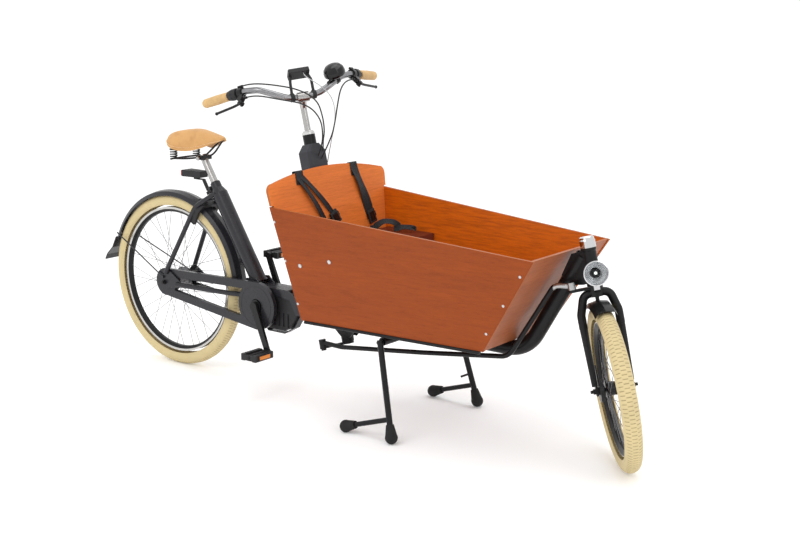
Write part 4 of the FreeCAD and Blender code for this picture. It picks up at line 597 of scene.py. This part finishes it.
# the rims are black inside a radius and bare metal outside it
for name, centre, axis, inner in (("rear_rim", rear_axle, (0, 1, 0), REAR_RIM_EDGE),
                                  ("front_rim", front_axle, front_axis, FRONT_RIM_EDGE)):
    rim_surface = Surface(name + "_black", (0.008, 0.008, 0.009), 0.3, 0.0, 0.2)
    rim_surface.vary(8.0, 0.3).gloss(22.0, 0.25, 0.42)
    rim_surface.plate(rim_surface.ramp(rim_surface.radius(centre, axis), inner, inner + 0.0005),
                      (0.56, 0.55, 0.53), 1.0)
    dress(rim_surface, name)


# ------------------------------------------------------------------ tyres
def tread_sink(across, part, tread):
    """How deep the tread lies at an angle across the tyre, and whether that is a cross groove."""
    if across < tread["shoulder"]:
        band = int((across + tread["band"] / 2) / tread["band"])
        edge = (across + tread["band"] / 2) % tread["band"]
        grooved = part == (0 if band % 2 == 0 else 3)
        sink = tread["depth"] if grooved else 0.0
        if edge < tread["band"] * 0.14 and band > 0:
            sink = max(sink, tread["depth"] * 0.4)
        return sink, grooved
    if 84 < across < 88:
        return -0.0004, False
    if 100 < across < 104:
        return 0.0004, False
    return 0.0, False


def tyre(name, node, body, centre, axle, outer, tread):
    """A tyre with blocks cut into its tread, a raised sidewall line and a sunk bead line."""
    middle = outer - TYRE_HALF
    axle = Vector(axle).normalized()
    side, up = frame_of(axle)
    count = int(2 * math.pi * outer / tread["pitch"])
    marks = (0.0, 0.10, 0.40, 0.50, 0.60, 0.90)
    spread = math.radians(131)
    ring = 46
    verts = []
    sunk = set()
    for k in range(count):
        for part, mark in enumerate(marks):
            turn = 2 * math.pi * (k + mark) / count
            way = side * math.cos(turn) + up * math.sin(turn)
            for i in range(ring + 1):
                phi = spread * (2 * i / ring - 1)
                sink, grooved = tread_sink(abs(math.degrees(phi)), part, tread)
                if grooved:
                    sunk.add(len(verts))
                r = TYRE_HALF - 0.0003 - sink
                verts.append(Vector(centre) + way * (middle + r * math.cos(phi)) + axle * (r * math.sin(phi)))
    rows = count * len(marks)
    faces = []
    for k in range(rows):
        here = k * (ring + 1)
        there = ((k + 1) % rows) * (ring + 1)
        for i in range(ring):
            faces.append((here + i, there + i, there + i + 1, here + i + 1))
    piece = mesh_object(name, verts, faces, cream, body)
    # the sunk groove faces take the darker groove material, which is painted shade
    piece.data.materials.append(groove.mat)
    for polygon, face in zip(piece.data.polygons, faces):
        if sum(v in sunk for v in face) > 1:
            polygon.material_index = 1
    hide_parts(node)


tyre("rear_tyre_tread", "rear_tyre", "rear_wheel", rear_axle, ACROSS, REAR_TYRE_R,
     {"pitch": 0.0125, "shoulder": 56, "band": 38, "depth": 0.0009})
tyre("front_tyre_tread", "front_tyre", "front_wheel", front_axle, front_axis, FRONT_TYRE_R,
     {"pitch": 0.0130, "shoulder": 62, "band": 41, "depth": 0.0012})

# ------------------------------------------------------------------ leather, cork, webbing and lens materials
leather = Surface("tan_leather", (0.60, 0.325, 0.115), 0.5, 0.0, 0.4)
leather.vary(11.0, 0.16).gloss(26.0, 0.42, 0.6)
leather.tint(leather.ramp(leather.noise(24.0, 5.0, 0.7), 0.52, 0.76), (0.36, 0.16, 0.05), 0.55)
leather.rise(leather.noise(520.0, 5.0, 0.65), 0.0003)
cork = Surface("cork_grip", (0.62, 0.40, 0.175), 0.62, 0.0, 0.35)
cork.vary(30.0, 0.2).tint(cork.ramp(cork.noise(170.0, 4.0, 0.7), 0.56, 0.72), (0.30, 0.16, 0.06), 0.5)
cork.rise(cork.noise(300.0, 4.0), 0.0003)
thread = plastic("thread", (0.80, 0.60, 0.36), 0.7)
webbing = Surface("webbing", (0.012, 0.012, 0.014), 0.55, 0.0, 0.25)
weave = webbing.add("ShaderNodeTexWave", wave_type="BANDS", bands_direction="DIAGONAL")
weave.inputs["Scale"].default_value = 220.0
webbing.link(webbing.coords, weave.inputs["Vector"])
webbing.vary(40.0, 0.3).tint(weave.outputs["Fac"], (0.036, 0.036, 0.040), 0.7)
webbing.rise(weave.outputs["Fac"], 0.0005)
amber = Surface("amber_reflector", (0.85, 0.26, 0.02), 0.2, 0.0, 0.6)
amber.vary(60.0, 0.25).rise(amber.stripes(amber.axis("X"), 0.004), 0.0006)
red_lens = Surface("red_lens", (0.50, 0.012, 0.010), 0.15, 0.0, 0.6)
red_lens.vary(50.0, 0.3).rise(red_lens.stripes(red_lens.axis("Y"), 0.003), 0.0005)
red_lens.set(Coat_Weight=0.7, Coat_Roughness=0.05)
reflector = Surface("reflector", (0.50, 0.50, 0.51), 0.16, 1.0)
reflector.vary(20.0, 0.15).gloss(60.0, 0.12, 0.28)
bulb = Surface("lamp_bulb", (0.95, 0.95, 0.92), 0.15)
bulb.vary(30.0, 0.05)
bulb.set(Emission_Color=(1, 1, 0.95, 1), Emission_Strength=0.5)
lens = Surface("lens_clear", (0.93, 0.95, 0.96), 0.06, 0.0, 0.6)
lens.vary(12.0, 0.04).set(Transmission_Weight=1.0, IOR=1.08)


# ------------------------------------------------------------------ lofted forms
def smooth_path(points, steps):
    """Points on a smooth line through the given ones."""
    last = len(points) - 1
    path = []
    for i in range(last):
        a, b, c, d = points[max(i - 1, 0)], points[i], points[i + 1], points[min(i + 2, last)]
        for k in range(steps):
            t = k / steps
            path.append((b * 2 + (c - a) * t + (a * 2 - b * 5 + c * 4 - d) * t * t
                         + (b * 3 - a - c * 3 + d) * t ** 3) * 0.5)
    return path + [points[last]]


def loft(name, rings, surface, body, sharp):
    """A closed skin through rings of equal count, capped at both ends."""
    count = len(rings[0])
    verts = [point for ring in rings for point in ring]
    faces = []
    for i in range(len(rings) - 1):
        for k in range(count):
            n = (k + 1) % count
            faces.append((i * count + k, i * count + n, (i + 1) * count + n, (i + 1) * count + k))
    faces.append(tuple(range(count)))
    faces.append(tuple(range(len(verts) - 1, len(verts) - count - 1, -1)))
    piece = mesh_object(name, verts, faces, surface, body)
    tidy(piece, sharp)
    return piece


def ribbon(name, spine, outward, width, thick, surface, body, steps):
    """A flat band along its middle line; outward points away from what it lies on."""
    spine = smooth_path(spine, steps)
    outward = smooth_path(outward, steps)
    section = ((-0.97, 0), (-0.5, 0), (0.5, 0), (0.97, 0), (1, 0.25), (1, 0.75), (0.97, 1), (0.88, 1.0),
               (0.84, 0.9), (-0.84, 0.9), (-0.88, 1.0), (-0.97, 1), (-1, 0.75), (-1, 0.25))
    rings = []
    for i, point in enumerate(spine):
        along = (spine[min(i + 1, len(spine) - 1)] - spine[max(i - 1, 0)]).normalized()
        across = along.cross(outward[i]).normalized()
        out = across.cross(along)
        rings.append([point + across * (a * width / 2) + out * (b * thick) for a, b in section])
    return loft(name, rings, surface, body, 50)


# ------------------------------------------------------------------ cables
# length, diameter, jacket and route from the handlebar down to the frame
CABLES = {
    "rear_brake_cable": (0.433, 0.005, "cable_rubber", [
        (0.5447, -0.1588, 1.0688), (0.5813, -0.1578, 1.079), (0.676, -0.142, 1.068), (0.735, -0.066, 1.05),
        (0.752, -0.016, 1.0), (0.757, -0.01, 0.94), (0.745, -0.008, 0.895), (0.7317, -0.008, 0.8676)]),
    "front_brake_cable": (0.365, 0.005, "cable_rubber", [
        (0.7655, 0.1426, 1.1218), (0.7745, 0.1059, 1.1254), (0.788, 0.05, 1.104), (0.798, 0.02, 1.05),
        (0.792, 0.012, 0.985), (0.778, 0.008, 0.93), (0.734, 0.006, 0.8578)]),
    "shift_cable": (0.473, 0.005, "cable_rubber", [
        (0.509, -0.1421, 1.1049), (0.5475, -0.1411, 1.1156), (0.636, -0.126, 1.114), (0.7, -0.066, 1.098),
        (0.728, -0.005, 1.06), (0.738, 0.012, 1.0), (0.738, 0.02, 0.95), (0.728, 0.022, 0.915),
        (0.7284, 0.022, 0.8812)]),
    "display_cable": (0.366, 0.0032, "cable_steel", [
        (0.6719, -0.0128, 1.1516), (0.6814, -0.0175, 1.1387), (0.716, 0.002, 1.118), (0.756, 0.026, 1.084),
        (0.772, 0.038, 1.034), (0.77, 0.036, 0.97), (0.756, 0.032, 0.915), (0.7377, 0.034, 0.8423)]),
}
jackets = {"cable_rubber": cable_rubber, "cable_steel": cable_steel}

for name, (length, diameter, jacket, route) in CABLES.items():
    line = route_mesh(name + "_line", route, 0.0)
    mesh = route_mesh(name, route, diameter / 2)
    mesh.materials.clear()
    mesh.materials.append(jackets[jacket].mat)
    mesh.polygons.foreach_set("use_smooth", [True] * len(mesh.polygons))
    piece = bpy.data.objects.new(name, mesh)
    bpy.context.scene.collection.objects.link(piece)
    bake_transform(piece)
    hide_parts("control_cables")

# ------------------------------------------------------------------ saddle
# x, half width, crown height and edge height, from the tail to the nose
STATIONS = [(0.016, 0.030, 0.894, 0.884), (0.022, 0.048, 0.899, 0.878), (0.036, 0.068, 0.906, 0.868),
            (0.066, 0.082, 0.914, 0.855), (0.106, 0.078, 0.920, 0.846), (0.146, 0.060, 0.921, 0.846),
            (0.188, 0.041, 0.916, 0.857), (0.226, 0.030, 0.909, 0.872), (0.254, 0.022, 0.903, 0.881),
            (0.266, 0.014, 0.899, 0.886), (0.2695, 0.006, 0.896, 0.889)]


def crown(x, half, foot_z, rise):
    """A row of points over the saddle, from the right edge to the left one."""
    row = []
    for i in range(33):
        t = i / 16 - 1
        y = half * math.copysign(abs(t) ** 0.85, t)
        row.append(Vector((x, y, foot_z + rise * (1 - abs(t) ** 3.2) ** 0.62)))
    return row


rings = []
for x, half, top, edge in smooth_path([Vector(row) for row in STATIONS], 6):
    outside = crown(x, half, edge, top - edge)
    inside = crown(x, half - 0.005, edge + 0.001, max(top - edge - 0.009, 0.001))
    rings.append(outside + inside[::-1])
saddle = loft("saddle_cover", rings, leather, "seat", 60)
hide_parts("saddle_top")

# every other stitch sits a little higher
stitches = []
for side in (-1, 1):
    for x, half, top, edge in smooth_path([Vector(row) for row in STATIONS[1:10]], 7):
        spot = Vector((x, side * (half + 0.0004), edge + (top - edge) * 0.16))
        if len(stitches) % 2:
            spot.z += 0.0002
        stitches.append(block("stitch", spot, AXES, (0.0022, 0.0008, 0.0007), thread, "seat", 0.0003))
seam = join("saddle_stitching", stitches)

parts = []
COIL_TURNS = 4
TURN_POINTS = 14
for side in (-1, 1):
    coil = []
    for k in range(COIL_TURNS * TURN_POINTS + 1):
        turn = 2 * math.pi * k / TURN_POINTS
        coil.append((SPRING_X + SPRING_R * math.cos(turn), side * SPRING_Y + SPRING_R * math.sin(turn),
                     SPRING_FOOT + SPRING_H * k / (COIL_TURNS * TURN_POINTS)))
    parts.append(wire("spring", coil, SPRING_WIRE_R, black_alloy, "seat"))
    rail = [(0.058, side * 0.056, 0.812), (0.09, side * 0.042, 0.811), (0.14, side * 0.022, 0.816),
            (0.19, side * 0.020, 0.826), (0.235, side * 0.012, 0.868), (0.258, side * 0.006, 0.888)]
    parts.append(wire("rail", rail, RAIL_R, black_alloy, "seat"))
    cup = [(0, 0), (0.015, 0), (0.0155, 0.002), (0.0, 0.003)]
    cup_at = (SPRING_X, side * SPRING_Y, SPRING_FOOT + SPRING_H - 0.0005)
    parts.append(lathe("spring_cup", cup, cup_at, UP, black_alloy, "seat", 24))
bridge = [(0.058, -0.070, 0.811), (0.054, -0.03, 0.811), (0.054, 0.03, 0.811), (0.058, 0.070, 0.811)]
parts.append(wire("bridge", bridge, RAIL_R, black_alloy, "seat"))
parts.append(block("cradle", (0.1614, 0, 0.8185), AXES, (0.016, 0.026, 0.008), black_alloy, "seat", 0.002))
bolt = [(0, -0.034), (0.007, -0.034), (0.0075, -0.028), (0.0045, -0.028),
        (0.0045, 0.028), (0.0075, 0.028), (0.007, 0.034), (0, 0.034)]
parts.append(lathe("clamp_bolt", bolt, (0.1614, 0, 0.8165), ACROSS, silver, "seat", 24))
for part in parts:
    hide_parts("saddle_frame")

# ------------------------------------------------------------------ harness
panel_foot = Vector((0.859, 0, 0.348))
panel_up = Vector((-0.1917, 0, 0.9815))
arch_top = (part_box("back_panel")[1][2] - panel_foot.z) / panel_up.z


def on_panel(y, up, out):
    """A place by the back panel: across, up along its face and out in front of it."""
    return panel_foot + panel_up * up + panel_out * out + ACROSS * y


def strap_top(y):
    """Where a strap crosses the panel's arched edge."""
    return arch_top - 0.032 * (abs(y) / 0.276) ** 2 + 0.003


def over_edge(name, y, drop):
    """The wide strap from behind the panel over its edge."""
    top = strap_top(y)
    behind, ahead = panel_up - panel_out, panel_up + panel_out
    way = [(top - 0.09, -0.0106, -panel_out), (top - 0.03, -0.0106, -panel_out),
           (top - 0.003, -0.0108, behind), (top + 0.0002, -0.0085, panel_up),
           (top + 0.0004, -0.005, panel_up), (top + 0.0002, -0.0015, panel_up),
           (top - 0.003, 0.0008, ahead), (top - drop, 0.0010, panel_out)]
    spine = [on_panel(y, up, out) for up, out, facing in way]
    facings = [facing for up, out, facing in way]
    return ribbon(name, spine, facings, EDGE_STRAP_W, WEBBING_T, webbing, "frame", 6)


def strand(name, y0, y1, low, width, lift):
    """A strap from the edge down the panel's face, lifted and twisted a little on its way."""
    top = strap_top(y0) - 0.018
    shares = (0.0, 0.2, 0.4, 0.6, 0.8, 1.0)
    spine = [on_panel(y0 + (y1 - y0) * t, top + (low - top) * t, 0.0012 + lift * math.sin(math.pi * t))
             for t in shares]
    facings = [panel_out + ACROSS * (0.25 * math.sin(6 * t)) for t in shares]
    return ribbon(name, spine, facings, width, WEBBING_T, webbing, "frame", 6)


def buckle(name, y, s, lean):
    """A side-release buckle: its shell, its raised middle and its two side tabs."""
    way = (panel_up * math.cos(lean) + ACROSS * math.sin(lean)).normalized()
    side = panel_out.cross(way)
    shell = [block(name, on_panel(y, s, 0.006), (side, way, panel_out), (0.019, 0.024, 0.004), matt_plastic,
                   "frame", 0.0018),
             block(name, on_panel(y, s, 0.0108), (side, way, panel_out), (0.011, 0.016, 0.0012), gloss_black,
                   "frame", 0.0008)]
    for edge in (-1, 1):
        shell.append(block(name, on_panel(y, s, 0.006) + side * (0.0205 * edge) + way * 0.004,
                           (side, way, panel_out), (0.0022, 0.009, 0.003), gloss_black, "frame", 0.001))
    return join(name, shell)


harness = [over_edge("harness_edge_right", -0.148, 0.045), over_edge("harness_edge_left", 0.138, 0.045),
           strand("harness_strand_a", -0.158, -0.050, 0.300, 0.018, 0.010),
           strand("harness_strand_b", -0.139, -0.008, 0.330, 0.018, 0.007),
           strand("harness_strand_c", 0.138, 0.188, 0.300, 0.038, 0.006),
           buckle("buckle_a", -0.046, 0.290, -0.44), buckle("buckle_b", -0.004, 0.318, -0.5),
           buckle("buckle_c", 0.190, 0.296, -0.2)]
for piece in harness:
    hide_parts("harness_straps")

# two lengths of belt stand on edge and arch over the bench
belt_z = BENCH_TOP + 0.0125
belt_side = Vector((0.61, -0.79, 0.1))
ARCH = ((-0.30, 0), (-0.12, 0.02), (0.04, 0.5), (0.28, 0.95),
        (0.5, 1), (0.74, 0.9), (0.97, 0.45), (0.94, 0.0))
LEAN = (0.0, 0.1, 0.3, 0.8, 1.0, 0.8, 0.3, 0.1)
for name, start, end, rise, width in (("bench_belt_a", (0.862, 0.150), (0.920, 0.200), 0.024, 0.022),
                                      ("bench_belt_b", (0.928, 0.190), (0.978, 0.216), 0.006, 0.020)):
    start, end = Vector((*start, belt_z)), Vector((*end, belt_z))
    spine = [start.lerp(end, t) + UP * (rise * h) for t, h in ARCH]
    lean = [belt_side + UP * t for t in LEAN]
    belt = ribbon(name, spine, lean, width, 0.002, webbing, "bench", 7)
    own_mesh(belt)

# ------------------------------------------------------------------ grips and lights
dress(cork, "grips")
dress(lens, "headlight_lens")
dress(red_lens, "rear_light_lens")
lamp_at = fork @ Vector((0.030, 0, 0.357))
lamp_way = (fork.to_3x3() @ Vector((0.9992, 0, -0.04))).normalized()
REFLECTOR_RINGS = 18
cone = []
for i in range(REFLECTOR_RINGS + 1):
    share = i / REFLECTOR_RINGS
    cone.append((0.0125 + 0.0218 * share, 0.0186 + 0.0155 * share + 0.0006 * (i % 2)))
core = [(0, 0.0184), (0.0160, 0.0205), (0.0150, 0.0245), (0.0070, 0.0262), (0, 0.0262)]
glass = [(0, 0.0262), (0.0048, 0.0264), (0.0042, 0.0300), (0, 0.0315)]
for name, profile, surface, steps in (("lamp_reflector", cone, reflector, 64),
                                      ("lamp_core", core, black_alloy, 32),
                                      ("lamp_bulb", glass, bulb, 24)):
    piece = lathe(name, profile, lamp_at, lamp_way, surface, "fork", steps)

# ------------------------------------------------------------------ reflectors and the floor rails
STRIP_HALF = (0.0012, 0.026, 0.0065)
for name in ("pedal_right", "pedal_left"):
    lo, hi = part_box(name)
    middle = (lo + hi) / 2
    for end, x in (("front", hi[0] + 0.0003), ("rear", lo[0] - 0.0003)):
        strip = block(name + "_reflector_" + end, (x, middle[1], middle[2]), AXES, STRIP_HALF, amber, name,
                      0.0008)
for name, side in (("floor_rail_right", -1), ("floor_rail_left", 1)):
    route = [(x, side * y, FLOOR_RAIL_Z) for x, y in ((0.862, 0.236), (1.200, 0.2150), (1.538, 0.1935))]
    rail = wire(name, route, FLOOR_RAIL_R, black, "frame")

# ------------------------------------------------------------------ finish
bpy.context.view_layer.update()
